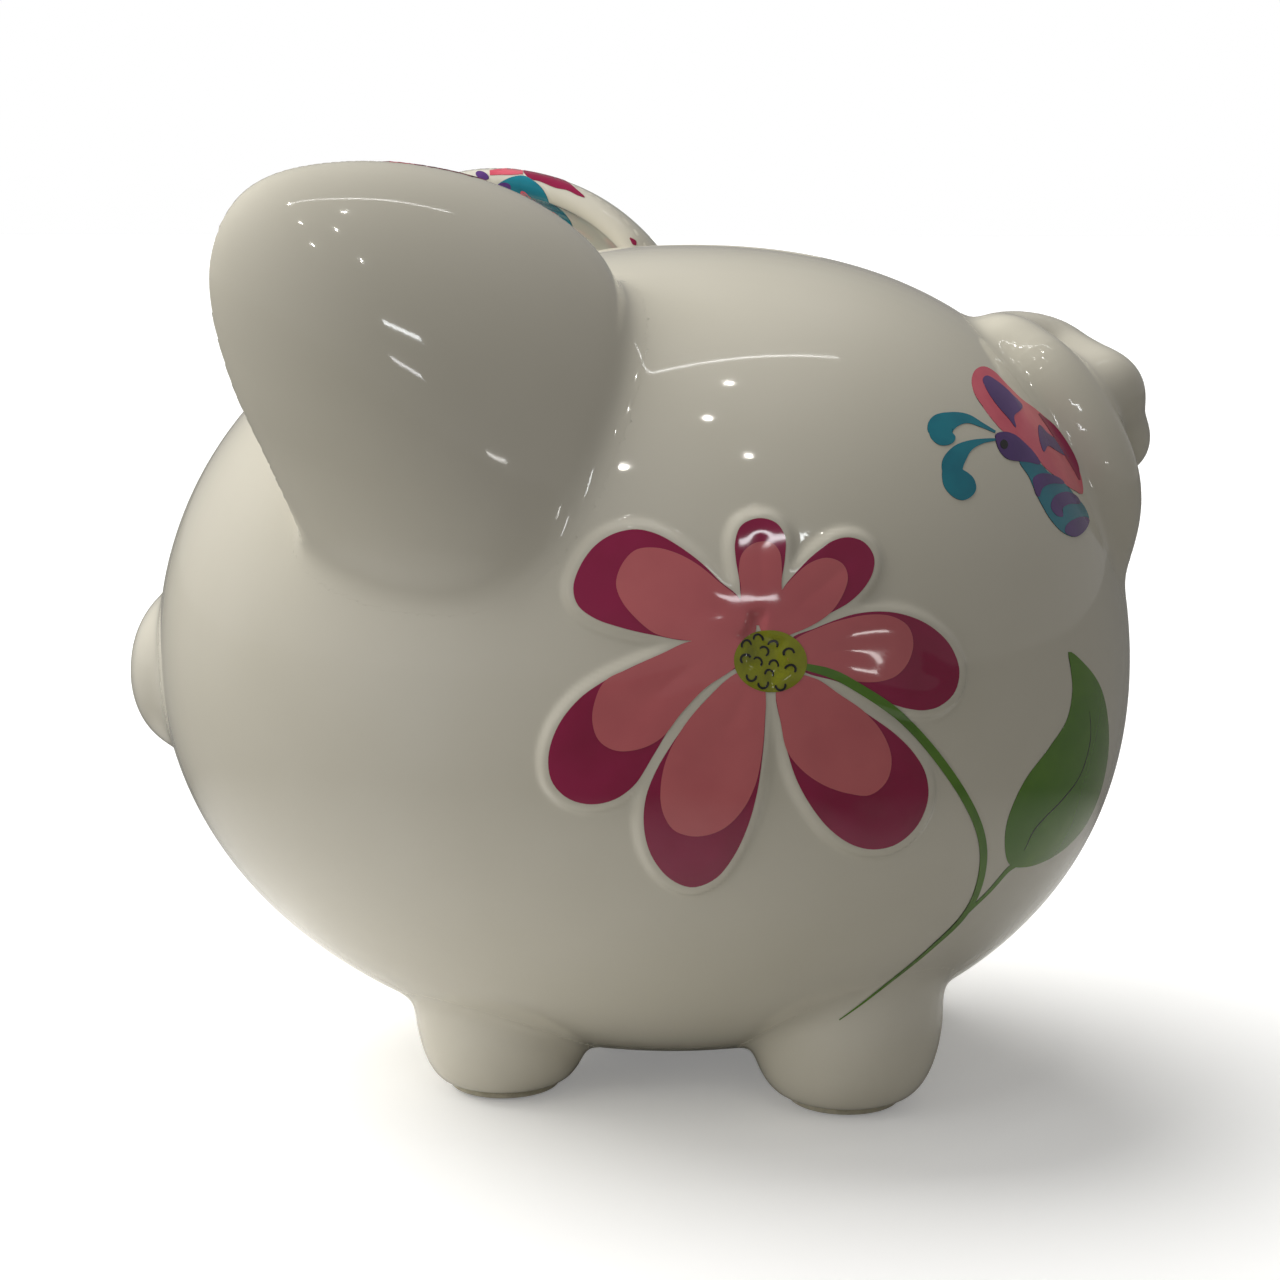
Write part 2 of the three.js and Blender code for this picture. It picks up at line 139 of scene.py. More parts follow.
def path(points, m):
    """m points evenly along a smooth open curve through the given points."""
    p = np.array(points, float)
    p = np.vstack([2 * p[0] - p[1], p, 2 * p[-1] - p[-2]])
    out = []
    for i in range(1, len(p) - 2):
        p0, p1, p2, p3 = p[i - 1], p[i], p[i + 1], p[i + 2]
        s = np.linspace(0, 1, 20, endpoint=False)[:, None]
        out.append(0.5 * (2 * p1 + (p2 - p0) * s + (2 * p0 - 5 * p1 + 4 * p2 - p3) * s ** 2
                          + (3 * p1 - p0 - 3 * p2 + p3) * s ** 3))
    q = np.vstack(out + [p[-2:-1]])
    length = np.concatenate([[0], np.cumsum(np.linalg.norm(np.diff(q[:, :2], axis=0), axis=1))])
    want = np.linspace(0, length[-1], m)
    return np.stack([np.interp(want, length, q[:, i]) for i in range(q.shape[1])], 1)


def ellipse(cx, cy, rx, ry, turn=0.0, m=64):
    a = np.linspace(0, 2 * math.pi, m, endpoint=False)
    x, y = rx * np.cos(a), ry * np.sin(a)
    c, s = math.cos(turn), math.sin(turn)
    return np.stack([cx + c * x - s * y, cy + s * x + c * y], 1)


# the flower stands out of the glaze: its height on a fine grid of the board
RELIEF_H, RELIEF_OUT, RELIEF_EDGE = 1.25, 2.7, 2.3
RELIEF_STEP, RELIEF_LO, RELIEF_HI = 0.3, -56.0, 54.0


def shape_distance(pts, poly):
    a, b = poly, np.roll(poly, -1, 0)
    best = np.full(len(pts), 1e9)
    inside = np.zeros(len(pts), bool)
    for (ax, ay), (bx, by) in zip(a, b):
        ex, ey = bx - ax, by - ay
        qx, qy = pts[:, 0] - ax, pts[:, 1] - ay
        h = np.clip((qx * ex + qy * ey) / (ex * ex + ey * ey + 1e-12), 0, 1)
        best = np.minimum(best, (qx - ex * h) ** 2 + (qy - ey * h) ** 2)
        if ay != by:
            cross = (pts[:, 1] >= min(ay, by)) & (pts[:, 1] < max(ay, by))
            inside ^= cross & (qx < (pts[:, 1] - ay) / (by - ay) * ex)
    d = np.sqrt(best)
    return np.where(inside, -d, d)


def relief_grid():
    s = np.arange(RELIEF_LO, RELIEF_HI + RELIEF_STEP, RELIEF_STEP)
    g = np.stack(np.meshgrid(s, s, indexing="ij"), -1).reshape(-1, 2)
    d = np.full(len(g), 60.0)
    for outer, _ in PETALS:
        poly = loop(outer, 72)
        near = ((g > poly.min(0) - 8) & (g < poly.max(0) + 8)).all(1)
        e = np.full(len(g), 60.0)
        e[near] = shape_distance(g[near], poly)
        d = smin(d, e, 1.6)
    h = RELIEF_H * smooth((RELIEF_OUT - d) / RELIEF_EDGE)
    # a soft dish in each petal, so that it catches the light
    h = h - 0.22 * smooth((-d - 1.5) / 7.0)
    h = h.reshape(len(s), len(s))
    k = np.exp(-0.5 * (np.arange(-4, 5) * RELIEF_STEP / 0.42) ** 2)
    k /= k.sum()
    for ax in (0, 1):
        h = np.apply_along_axis(lambda v: np.convolve(v, k, "same"), ax, h)
    return h


RELIEF = relief_grid()


def relief(n, r):
    out = np.zeros(len(n))
    p = n * r[:, None] + C
    p[:, 0] = np.abs(p[:, 0])
    q = p - FLOWER[0]
    a, b, t = q @ FLOWER[1], q @ FLOWER[2], q @ FLOWER[3]
    ok = (np.abs(a) < 52) & (np.abs(b) < 52) & (t > -45)
    i, j = (a[ok] - RELIEF_LO) / RELIEF_STEP, (b[ok] - RELIEF_LO) / RELIEF_STEP
    i0, j0 = i.astype(int), j.astype(int)
    fi, fj = i - i0, j - j0
    g = RELIEF
    out[ok] = ((1 - fi) * (1 - fj) * g[i0, j0] + fi * (1 - fj) * g[i0 + 1, j0]
               + (1 - fi) * fj * g[i0, j0 + 1] + fi * fj * g[i0 + 1, j0 + 1])
    return out


def f_body(p, raised=True):
    q = p - C
    r = np.linalg.norm(q, axis=-1)
    n = q / np.maximum(r, 1e-9)[:, None]
    rr = radius(n)
    if raised:
        rr = rr + relief(n, rr)
    return r - rr


# --- ears
EAR_ROOT = np.array([41.55, 1.72, 182.2])
EAR_U = np.array([0.39572, -0.67947, -0.61784])
EAR_V = np.array([0.35696, -0.50606, 0.78516])
EAR_N = np.array([-0.84616, -0.53125, 0.04229])
EAR_CENTRE = (54.0, -14.0)
EAR_RIM = [(-0.1, 1.3), (-0.9, 9.9), (1.1, 18.8), (5.2, 28.3), (11.9, 38.5), (21.7, 49.2), (30.6, 56.6), (39.3, 62), (46, 64.9), (52.5, 65.5), (58.7, 63.6), (64.3, 59.3), (69.2, 52.9), (73.1, 45.1), (76.3, 36.9), (79.8, 24.4), (83.2, 12.4), (86.4, 0), (87, -14), (82, -31), (69, -44), (51, -48), (30, -43), (13, -30), (2.5, -13)]
EAR_DEPTH, EAR_BOWL, EAR_THICK, EAR_BACK = 36.0, 1.3, 6.6, 8.4


def ear_table():
    q = loop(EAR_RIM, 900) - np.array(EAR_CENTRE)
    a = np.arctan2(q[:, 1], q[:, 0])
    r = np.hypot(q[:, 0], q[:, 1]) - EAR_THICK / 2
    o = np.argsort(a)
    at = np.linspace(-math.pi, math.pi, 721)
    t = np.interp(at, np.concatenate([a[o] - 2 * math.pi, a[o], a[o] + 2 * math.pi]), np.tile(r[o], 3))[:-1]
    k = np.exp(-0.5 * (np.arange(-12, 13) / 4.5) ** 2)
    k /= k.sum()
    t = np.convolve(np.concatenate([t[-12:], t, t[:12]]), k, "valid")
    return at, np.append(t, t[0])


EAR_AT, EAR_REACH = ear_table()
EAR_SLOPE = np.gradient(EAR_REACH, EAR_AT)


def ear_local(p):
    q = p * [1, 1, 1]
    q[:, 0] = np.abs(q[:, 0])
    q = q - EAR_ROOT
    return q @ EAR_U - EAR_CENTRE[0], q @ EAR_V - EAR_CENTRE[1], -(q @ EAR_N)


def f_ear(p):
    u, v, w = ear_local(p)
    rho, phi = np.hypot(u, v), np.arctan2(v, u)
    reach, slope = np.interp(phi, EAR_AT, EAR_REACH), np.interp(phi, EAR_AT, EAR_SLOPE)
    c = np.clip(w / EAR_DEPTH, 1e-6, None) ** (1 / EAR_BOWL)
    s = rho / reach
    g = np.maximum(np.hypot(s, c), 1e-4)
    gr = s / (g * reach)
    gw = c * c / (EAR_BOWL * np.maximum(w, 1e-3) * g)
    gp = s * slope / (reach * g * np.maximum(rho, 1.0)) * s
    back = np.abs(g - 1) / np.maximum(np.sqrt(gr ** 2 + gw ** 2 + gp ** 2), 1e-3) - (EAR_THICK + (EAR_BACK - EAR_THICK) * np.minimum(c / g, 1)) / 2
    front = np.hypot(rho - reach, w) - EAR_THICK / 2
    return np.where(w > 0, back, front)


# --- tail, a curl that lies on the rump
TAIL_ANGLE, TAIL_REACH = math.radians(25.8), 112.0
TAIL = [(10, -45.5, -11.3, 8.6), (13, -33.5, -4.8, 9.8), (15.5, -20, 0, 10.2), (15.5, -5, 1.4, 10), (11, 9.5, 0.8, 9.8), (0, 18.5, -2.3, 9.6), (-11, 10, 4.9, 9.7), (-13, -4, 6.8, 9.4), (-6, -13, 7.2, 8.6)]
TAIL_TIP = (0.5, -2, 9.2, 10.3)


def on_rump(a, b, h):
    t = TAIL_ANGLE
    n = unit(np.array([a / TAIL_REACH, math.cos(t) - math.sin(t) * b / TAIL_REACH, math.sin(t) + math.cos(t) * b / TAIL_REACH]))
    return C + n * (radius(n) + h)


_t = path(TAIL, 64)
TAIL_P = np.array([on_rump(a, b, h) for a, b, h, _ in _t])
TAIL_R = _t[:, 3]
TIP_P, TIP_R = on_rump(*TAIL_TIP[:3]), TAIL_TIP[3]
MID_P, MID_R = on_rump(-5, 5, 6.0), 9.2


def chain(p, P, R):
    d = np.full(len(p), 1e9)
    for i in range(len(P) - 1):
        e = P[i + 1] - P[i]
        q = p - P[i]
        h = np.clip(q @ e / (e @ e), 0, 1)
        d = np.minimum(d, np.linalg.norm(q - h[:, None] * e, axis=1) - (R[i] + (R[i + 1] - R[i]) * h))
    return d


def f_tail(p):
    first = chain(p, TAIL_P[:38], TAIL_R[:38])
    last = chain(p, TAIL_P[37:], TAIL_R[37:])
    tip = np.linalg.norm(p - TIP_P, axis=1) - TIP_R
    mid = np.linalg.norm(p - MID_P, axis=1) - MID_R
    return smin(smin(smin(first, last, 3.5), mid, 6.0), tip, 9.0)


# --- snout, with two nostril hollows
SNOUT_Z, SNOUT_Y, SNOUT_HALF, SNOUT_P = 89.5, -119.15, (23.5, 16.0, 20.2), 2.25
NOSTRIL = (8.6, 3.4, 5.0, 3.8)


def f_snout(p):
    x, y, z = p[:, 0] / SNOUT_HALF[0], (p[:, 1] - SNOUT_Y - SNOUT_HALF[1]) / SNOUT_HALF[1], (p[:, 2] - SNOUT_Z) / SNOUT_HALF[2]
    k = SNOUT_P
    s = np.maximum(np.hypot(x, z), 1e-6)
    g = np.maximum((s ** k + np.abs(y) ** k) ** (1 / k), 1e-6)
    gs, gy = (s / g) ** (k - 1), (np.abs(y) / g) ** (k - 1)
    grad = np.sqrt((gs * x / s / SNOUT_HALF[0]) ** 2 + (gs * z / s / SNOUT_HALF[2]) ** 2 + (gy / SNOUT_HALF[1]) ** 2)
    d = (g - 1) / np.maximum(grad, 1e-3)
    q = np.stack([(np.abs(p[:, 0]) - NOSTRIL[0]) / NOSTRIL[1], (p[:, 1] - SNOUT_Y + 0.3) / NOSTRIL[3], (p[:, 2] - SNOUT_Z - 1) / NOSTRIL[2]], 1)
    m = np.linalg.norm(q, axis=1)
    hole = (m - 1) * m / np.maximum(np.linalg.norm(q / [NOSTRIL[1], NOSTRIL[3], NOSTRIL[2]], axis=1), 1e-3)
    return -smin(-d, hole, 1.6)


# --- legs
LEG_SOLE, LEG_FLARE, LEG_TOP, PAD_THICK, GAP = 13.2, 20.0, 48.0, 1.6, 0.3
FRONT_LEG, REAR_LEG = (33, -24.55, 20.6), (34, 53.25, 22.0)


def f_leg(p, leg):
    x, y, r = leg
    rho = np.hypot(np.abs(p[:, 0]) - x, p[:, 1] - y)
    up = p[:, 2] - PAD_THICK - GAP
    a, b = np.maximum(rho - LEG_SOLE, 0) / (r - LEG_SOLE), np.maximum(LEG_FLARE - up, 0) / LEG_FLARE
    g = np.maximum(np.hypot(a, b), 1e-6)
    grad = np.hypot(a / g / (r - LEG_SOLE), b / g / LEG_FLARE)
    return (g - 1) / np.maximum(grad, 1 / LEG_FLARE)


PARTS = [   # field, box that it matters in, fillet with the body
    (f_ear, ((30, -90, 100), (116, 30, 222)), 5.5, True),
    (f_tail, ((-38, 60, 100), (40, 136, 192)), 6.0, False),
    (f_snout, ((-38, -134, 55), (38, -88, 124)), 8.0, False),
    (lambda p: f_leg(p, FRONT_LEG), ((0, -58, -9), (66, 9, 62)), 5.0, True),
    (lambda p: f_leg(p, REAR_LEG), ((0, 20, -9), (68, 88, 62)), 5.0, True),
]


def field(p, raised=True):
    """The whole glaze: negative inside, near to a distance in mm outside."""
    d = f_body(p, raised)
    for f, (lo, hi), k, both in PARTS:
        q = np.abs(p[:, 0]) if both else p[:, 0]
        m = (q > lo[0]) & (q < hi[0]) & (p[:, 1] > lo[1]) & (p[:, 1] < hi[1]) & (p[:, 2] > lo[2]) & (p[:, 2] < hi[2])
        if m.any():
            d[m] = smin(d[m], f(p[m]), k)
    return d


def gradient(p, f=field, e=0.2):
    g = np.empty_like(p)
    for i in range(3):
        s = np.zeros(3)
        s[i] = e
        g[:, i] = (f(p + s) - f(p - s)) / (2 * e)
    return g


# ------------------------------------------------------------------- writing
def write(name, verts, faces, normals=None, body="bank", mats=(), pick=None, attr=None):
    me = bpy.data.meshes.new(name)
    me.from_pydata((np.asarray(verts) / 1000).tolist(), [], [list(map(int, f)) for f in faces])
    for m in mats:
        me.materials.append(m)
    if pick is not None:
        me.polygons.foreach_set("material_index", np.asarray(pick, np.int32))
    me.polygons.foreach_set("use_smooth", np.ones(len(me.polygons), bool))
    if attr is not None:
        a = me.attributes.new("tint", "FLOAT", "POINT")
        a.data.foreach_set("value", np.asarray(attr, np.float32))
    me.update()
    if normals is not None:
        me.normals_split_custom_set_from_vertices(unit(np.asarray(normals)).tolist())
    o = bpy.data.objects.new(name, me)
    bpy.context.scene.collection.objects.link(o)
    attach(o, body)
    return o


def geometric_normals(v, quads):
    a, b, c, d = (v[quads[:, i]] for i in range(4))
    n = np.cross(c - a, d - b)
    out = np.zeros_like(v)
    for i in range(4):
        np.add.at(out, quads[:, i], n)
    return unit(out)


def nets(f, lo, hi, h):
    """Closed quad surface of f = 0 in a box, one vertex for each grid cell."""
    ax = [np.arange(lo[i], hi[i] + h, h) for i in range(3)]
    shape = tuple(len(a) for a in ax)
    X = np.stack(np.meshgrid(*ax, indexing="ij"), -1)
    V = f(X.reshape(-1, 3)).reshape(shape)
    for i in range(3):            # nothing reaches the box's sides
        for end in (0, -1):
            s = [slice(None)] * 3
            s[i] = end
            V[tuple(s)] = np.maximum(V[tuple(s)], 0.1)
    S = V < 0
    cells = tuple(n - 1 for n in shape)
    acc, cnt = np.zeros(cells + (3,)), np.zeros(cells)
    quads = []
    number = np.arange(int(np.prod(cells))).reshape(cells)
    for d in range(3):
        a, b = (d + 1) % 3, (d + 2) % 3
        lo_s, hi_s = [slice(None)] * 3, [slice(None)] * 3
        lo_s[d], hi_s[d] = slice(0, -1), slice(1, None)
        s0, s1 = S[tuple(lo_s)], S[tuple(hi_s)]
        v0, v1 = V[tuple(lo_s)], V[tuple(hi_s)]
        cross = s0 != s1
        t = np.where(cross, v0 / np.where(cross, v0 - v1, 1), 0)
        pt = X[tuple(lo_s)].copy()
        pt[..., d] += t * h
        pt[~cross] = 0
        for oa in (0, 1):
            for ob in (0, 1):
                s = [slice(None)] * 3
                s[a] = slice(oa, shape[a] - 1 + oa)
                s[b] = slice(ob, shape[b] - 1 + ob)
                acc += pt[tuple(s)]
                cnt += cross[tuple(s)]
        mid = [slice(None)] * 3
        mid[a], mid[b] = slice(1, -1), slice(1, -1)
        idx = np.argwhere(cross[tuple(mid)])
        idx[:, a] += 1
        idx[:, b] += 1
        flip = s0[tuple(idx.T)]
        corners = []
        for oa, ob in ((1, 1), (0, 1), (0, 0), (1, 0)):
            c = idx.copy()
            c[:, a] -= oa
            c[:, b] -= ob
            corners.append(number[tuple(c.T)])
        q = np.stack(corners, 1)
        q[~flip] = q[~flip][:, ::-1]
        quads.append(q)
    used = cnt > 0
    new = np.full(int(np.prod(cells)), -1)
    new[used.ravel()] = np.arange(int(used.sum()))
    return acc[used] / cnt[used][:, None], new[np.vstack(quads)]


def skin(name, nodes, lo, hi, h, mats, twin=None, twin_nodes=()):
    """The glaze where a feature lifts it from the body, as a closed solid."""
    def solid(p):
        b = f_body(p)
        F = field(p)
        return np.maximum(np.maximum(F, -(b + 1.2)), (F - b + 0.015) * 2.0)
    v, q = nets(solid, lo, hi, h * FINE)
    b, F = f_body(v), field(v)
    free = (F - b < -0.04) & (b > -0.75)          # on the glaze itself
    for _ in range(4):
        g = gradient(v[free])
        s = field(v[free]) / np.maximum((g * g).sum(1), 0.05)
        v[free] -= np.clip(s, -1.5, 1.5)[:, None] * g
    n = geometric_normals(v, q)
    n[free] = unit(gradient(v[free]))
    o = write(name, v, q, n, mats=mats)
    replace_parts(o, *nodes)
    if twin:
        k = np.array([-1, 1, 1])
        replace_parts(write(twin, v * k, q[:, ::-1], n * k, mats=mats), *twin_nodes)
    return o


# ------------------------------------------------------------------ materials
def node(nt, kind, **inputs):
    n = nt.nodes.new(kind)
    for k, v in inputs.items():
        n.inputs[k.replace("_", " ")].default_value = v
    return n


def ramp(nt, stops):
    r = nt.nodes.new("ShaderNodeValToRGB")
    while len(r.color_ramp.elements) < len(stops):
        r.color_ramp.elements.new(0.5)
    for e, (at, col) in zip(r.color_ramp.elements, stops):
        e.position = at
        e.color = (*col, 1)
    return r


def srgb(r, g, b):
    return tuple(((c / 255 + 0.055) / 1.055) ** 2.4 if c > 10 else c / 255 / 12.92 for c in (r, g, b))


def material(name, stops, scale=14.0, detail=3.0, rough=0.07, coat=0.0, bump=0.00025, bump_scale=16.0,
             fine=0.0, fine_scale=900.0, tint=None, ior=1.52):
    """Principled shader: colour from noise (or from a painted tint), a slow
    waviness in the surface and, if asked, a fine grain."""
    m = bpy.data.materials.new(name)
    m.use_nodes = True
    nt = m.node_tree
    nt.nodes.clear()
    out = nt.nodes.new("ShaderNodeOutputMaterial")
    bsdf = node(nt, "ShaderNodeBsdfPrincipled", Roughness=rough, IOR=ior)
    bsdf.inputs["Coat Weight"].default_value = coat
    bsdf.inputs["Coat Roughness"].default_value = 0.03
    nt.links.new(bsdf.outputs[0], out.inputs[0])
    co = nt.nodes.new("ShaderNodeTexCoord").outputs["Object"]
    noise = node(nt, "ShaderNodeTexNoise", Scale=scale, Detail=detail, Roughness=0.55)
    nt.links.new(co, noise.inputs["Vector"])
    factor = noise.outputs["Fac"]
    if tint is not None:
        at = nt.nodes.new("ShaderNodeAttribute")
        at.attribute_name = "tint"
        mul = nt.nodes.new("ShaderNodeMath")
        mul.operation = "MULTIPLY_ADD"
        nt.links.new(noise.outputs["Fac"], mul.inputs[0])
        mul.inputs[1].default_value = tint
        nt.links.new(at.outputs["Fac"], mul.inputs[2])
        factor = mul.outputs[0]
    r = ramp(nt, stops)
    nt.links.new(factor, r.inputs[0])
    nt.links.new(r.outputs[0], bsdf.inputs["Base Color"])
    slow = node(nt, "ShaderNodeTexNoise", Scale=bump_scale, Detail=1.5, Roughness=0.45)
    nt.links.new(co, slow.inputs["Vector"])
    b = node(nt, "ShaderNodeBump", Strength=1.0, Distance=bump)
    nt.links.new(slow.outputs["Fac"], b.inputs["Height"])
    last = b
    if fine:
        f = node(nt, "ShaderNodeTexNoise", Scale=fine_scale, Detail=2.0, Roughness=0.6)
        nt.links.new(co, f.inputs["Vector"])
        b2 = node(nt, "ShaderNodeBump", Strength=1.0, Distance=fine)
        nt.links.new(f.outputs["Fac"], b2.inputs["Height"])
        nt.links.new(b.outputs[0], b2.inputs["Normal"])
        last = b2
    nt.links.new(last.outputs[0], bsdf.inputs["Normal"])
    return m


def two(a, b, lo=0.36, hi=0.64):
    return [(lo, srgb(*a)), (hi, srgb(*b))]


GLAZE = material("glaze_white", [(0.3, srgb(210, 205, 188)), (0.55, srgb(217, 212, 197)), (0.75, srgb(222, 218, 205))], scale=9.0, coat=0.5)
PAINT = {
    "magenta": material("paint_magenta", two((142, 18, 64), (156, 26, 76)), scale=45, coat=0.5),
    "pink": material("paint_pink", two((196, 98, 104), (206, 108, 112)), scale=40, coat=0.5),
    "olive": material("paint_olive", two((132, 135, 6), (148, 152, 16)), scale=120, coat=0.5),
    "green": material("paint_green", two((76, 118, 30), (94, 136, 40)), scale=60, coat=0.5),
    "leaf": material("paint_leaf", two((80, 126, 30), (100, 144, 40)), scale=35, coat=0.5),
    "teal": material("paint_teal", two((8, 112, 134), (22, 132, 150)), scale=80, coat=0.5),
    "purple": material("paint_purple", two((78, 44, 112), (96, 58, 130)), scale=80, coat=0.5),
    "coral": material("paint_coral", two((214, 84, 104), (228, 106, 122)), scale=70, coat=0.5),
    "white": material("paint_white", two((226, 224, 216), (234, 232, 226)), scale=80, coat=0.5),
    "black": material("paint_black", two((14, 12, 16), (28, 24, 30)), scale=80, coat=0.5),
}
BISQUE = material("bisque_inside", two((196, 186, 166), (212, 204, 188)), scale=60, rough=0.75, bump=0.0002, bump_scale=60, fine=0.00006, fine_scale=1200, ior=1.45)

# ----------------------------------------------------------------- body shell
AROUND = int(440 / FINE)


def spread(total, lo, hi, dense):
    """total places from lo to hi, spaced by 1 / dense."""
    t = np.linspace(lo, hi, 4001)
    d = dense(t)
    s = np.concatenate([[0], np.cumsum((d[1:] + d[:-1]) / 2)])
    return np.interp(np.linspace(0, s[-1], total), s, t)


def bump_at(t, centre, half, soft):
    return smooth((half + soft - np.abs(t - centre)) / soft)


def surface_z(x, y, sign, inner=0.0):
    z = np.full(len(x), C[2] + sign * 90.0)
    for _ in range(12):
        def g(zz):
            q = np.stack([x, y, zz], 1) - C
            r = np.linalg.norm(q, axis=1)
            return r - radius(q / r[:, None]) + inner
        z = z - g(z) / ((g(z + 0.05) - g(z - 0.05)) / 0.1)
    return z


def stadium(offset, tau):
    """Points of the slot's outline, grown by offset, at the fractions tau."""
    r = SLOT_R + offset
    L = 4 * SLOT_HALF + 2 * math.pi * r
    s = (tau % 1.0) * L
    a = math.pi * r / 2                  # from +x round to +y
    out = np.empty((len(tau), 2))
    for i, v in enumerate(s):
        if v < SLOT_HALF:
            out[i] = (r, v)
        elif v < SLOT_HALF + 2 * a:
            t = (v - SLOT_HALF) / r
            out[i] = (r * math.cos(t), SLOT_HALF + r * math.sin(t))
        elif v < 3 * SLOT_HALF + 2 * a:
            out[i] = (-r, 2 * SLOT_HALF + 2 * a - v)
        elif v < 3 * SLOT_HALF + 4 * a:
            t = (v - 3 * SLOT_HALF - 2 * a) / r + math.pi
            out[i] = (r * math.cos(t), -SLOT_HALF + r * math.sin(t))
        else:
            out[i] = (r, v - L)
    return out + [0, SLOT_Y]


def body_shell():
    side = math.radians(19)
    phi = spread(AROUND + 1, -math.pi / 2, 1.5 * math.pi, lambda t: 0.34
                 + 0.8 * bump_at(t, side, math.radians(27), 0.16) + 0.8 * bump_at(t, math.pi - side, math.radians(27), 0.16))[:-1]
    tau = phi / (2 * math.pi)
    th0, th1 = math.radians(4), math.pi - math.radians(11)
    theta = spread(int(186 / FINE), th0, th1, lambda t: 0.36 + 0.8 * bump_at(t, 1.63, 0.40, 0.18) + 0.25 * bump_at(t, th0, 0.1, 0.25))
    rows, kind = [], []

    def direction(x, y, z):
        return unit(np.stack([x, y, z], 1) - C)

    circle = np.stack([np.cos(phi), np.sin(phi)], 1)
    # outer surface
    outer = []
    for t in theta:
        ring = np.stack([math.sin(t) * circle[:, 0], math.sin(t) * circle[:, 1], np.full(len(phi), math.cos(t))], 1)
        top = smooth((t - th0) / (math.radians(66) - th0))
        low = smooth((math.pi - t - math.radians(11)) / math.radians(40))
        n = ring
        if top < 1:
            s = stadium(SLOT_LIP + (t - th0) * 62.0, tau)
            n = unit((1 - top) * direction(s[:, 0], s[:, 1], surface_z(s[:, 0], s[:, 1], 1)) + top * n)
        if low < 1:
            rr = HOLE_R + HOLE_LIP + (th1 - t) * 100.0
            x, y = rr * circle[:, 0], HOLE_Y + rr * circle[:, 1]
            n = unit((1 - low) * direction(x, y, surface_z(x, y, -1)) + low * n)
        r = radius(n)
        outer.append(C + n * (r + relief(n, r))[:, None])
    # slot: rounded lip, then the wall down to the inside
    for beta in np.radians([0, 15, 30, 45, 60, 75]):
        d = SLOT_LIP * (1 - math.cos(beta))
        s = stadium(d, tau)
        rows.append(np.column_stack([s, surface_z(s[:, 0], s[:, 1], 1) - SLOT_LIP * (1 - math.sin(beta))]))
        kind.append("lip")
    n_lip = len(rows)
    for o in outer:
        rows.append(o)
        kind.append("outer")
    for beta in np.radians([75, 60, 45, 30, 15, 0]):
        rr = HOLE_R + HOLE_LIP * (1 - math.cos(beta))
        x, y = rr * circle[:, 0], HOLE_Y + rr * circle[:, 1]
        rows.append(np.column_stack([x, y, surface_z(x, y, -1) + HOLE_LIP * (1 - math.sin(beta))]))
        kind.append("lip")
    x, y = HOLE_R * circle[:, 0], HOLE_Y + HOLE_R * circle[:, 1]
    zi = surface_z(x, y, -1, WALL)
    rows.append(np.column_stack([x, y, zi - 0.7]))
    kind.append("wall")
    x, y = (HOLE_R + 0.5) * circle[:, 0], HOLE_Y + (HOLE_R + 0.5) * circle[:, 1]
    rows.append(np.column_stack([x, y, surface_z(x, y, -1, WALL)]))
    kind.append("inner")
    for t in np.linspace(math.pi - math.radians(16), math.radians(9), 20):
        n = np.stack([math.sin(t) * circle[:, 0], math.sin(t) * circle[:, 1], np.full(len(phi), math.cos(t))], 1)
        top = smooth((t - math.radians(5)) / math.radians(50))
        if top < 1:
            s = stadium(1.0 + (t - math.radians(5)) * 62.0, tau)
            n = unit((1 - top) * direction(s[:, 0], s[:, 1], surface_z(s[:, 0], s[:, 1], 1, WALL)) + top * n)
        rows.append(C + n * (radius(n) - WALL)[:, None])
        kind.append("inner")
    s = stadium(0.5, tau)
    rows.append(np.column_stack([s, surface_z(s[:, 0], s[:, 1], 1, WALL)]))
    kind.append("inner")
    s = stadium(0.0, tau)
    rows.append(np.column_stack([s, surface_z(s[:, 0], s[:, 1], 1, WALL) + 0.7]))
    kind.append("wall")
    v = np.vstack(rows)
    R, A = len(rows), len(phi)
    i, j = np.meshgrid(np.arange(R), np.arange(A), indexing="ij")
    a = i * A + j
    b = i * A + (j + 1) % A
    c = ((i + 1) % R) * A + (j + 1) % A
    d = ((i + 1) % R) * A + j
    q = np.stack([a, d, c, b], -1).reshape(-1, 4)
    n = geometric_normals(v, q)
    lo, hi = n_lip * A, (n_lip + len(outer)) * A
    n[lo:hi] = unit(gradient(v[lo:hi]))
    inside = np.array([k in ("inner", "wall") for k in kind])
    face_in = np.repeat(inside & np.roll(inside, -1), A)
    o = write("body_glaze", v, q, n, mats=(GLAZE, BISQUE), pick=face_in.astype(int))
    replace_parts(o, "body_shell")
    return o


body_shell()
def both_sides(name, nodes, lo, hi, h):
    o = skin(f"{name.replace('#', 'left')}_glaze", [n.replace("#", "left") for n in nodes], lo, hi, h, (GLAZE,), twin=f"{name.replace('#', 'right')}_glaze",
             twin_nodes=[n.replace("#", "right") for n in nodes])
    return o


both_sides("ear_#", ["ear_#"], (33, -84, 112), (108, 22, 214), 0.85)
skin("snout_glaze", ["snout"], (-32, -124, 61), (32, -92, 118), 0.8, (GLAZE,))
skin("tail_glaze", ["tail"], (-33, 72, 106), (35, 124, 186), 0.9, (GLAZE,))
for end, leg in (("front", FRONT_LEG), ("rear", REAR_LEG)):
    both_sides(f"leg_{end}_#", [f"leg_{end}_#"], (leg[0] - leg[2] - 8, leg[1] - leg[2] - 8, -1), (leg[0] + leg[2] + 8, leg[1] + leg[2] + 8, 56), 1.0)


# ----------------------------------------------------------------- decoration
EAR = (EAR_ROOT, EAR_U, EAR_V, EAR_N)


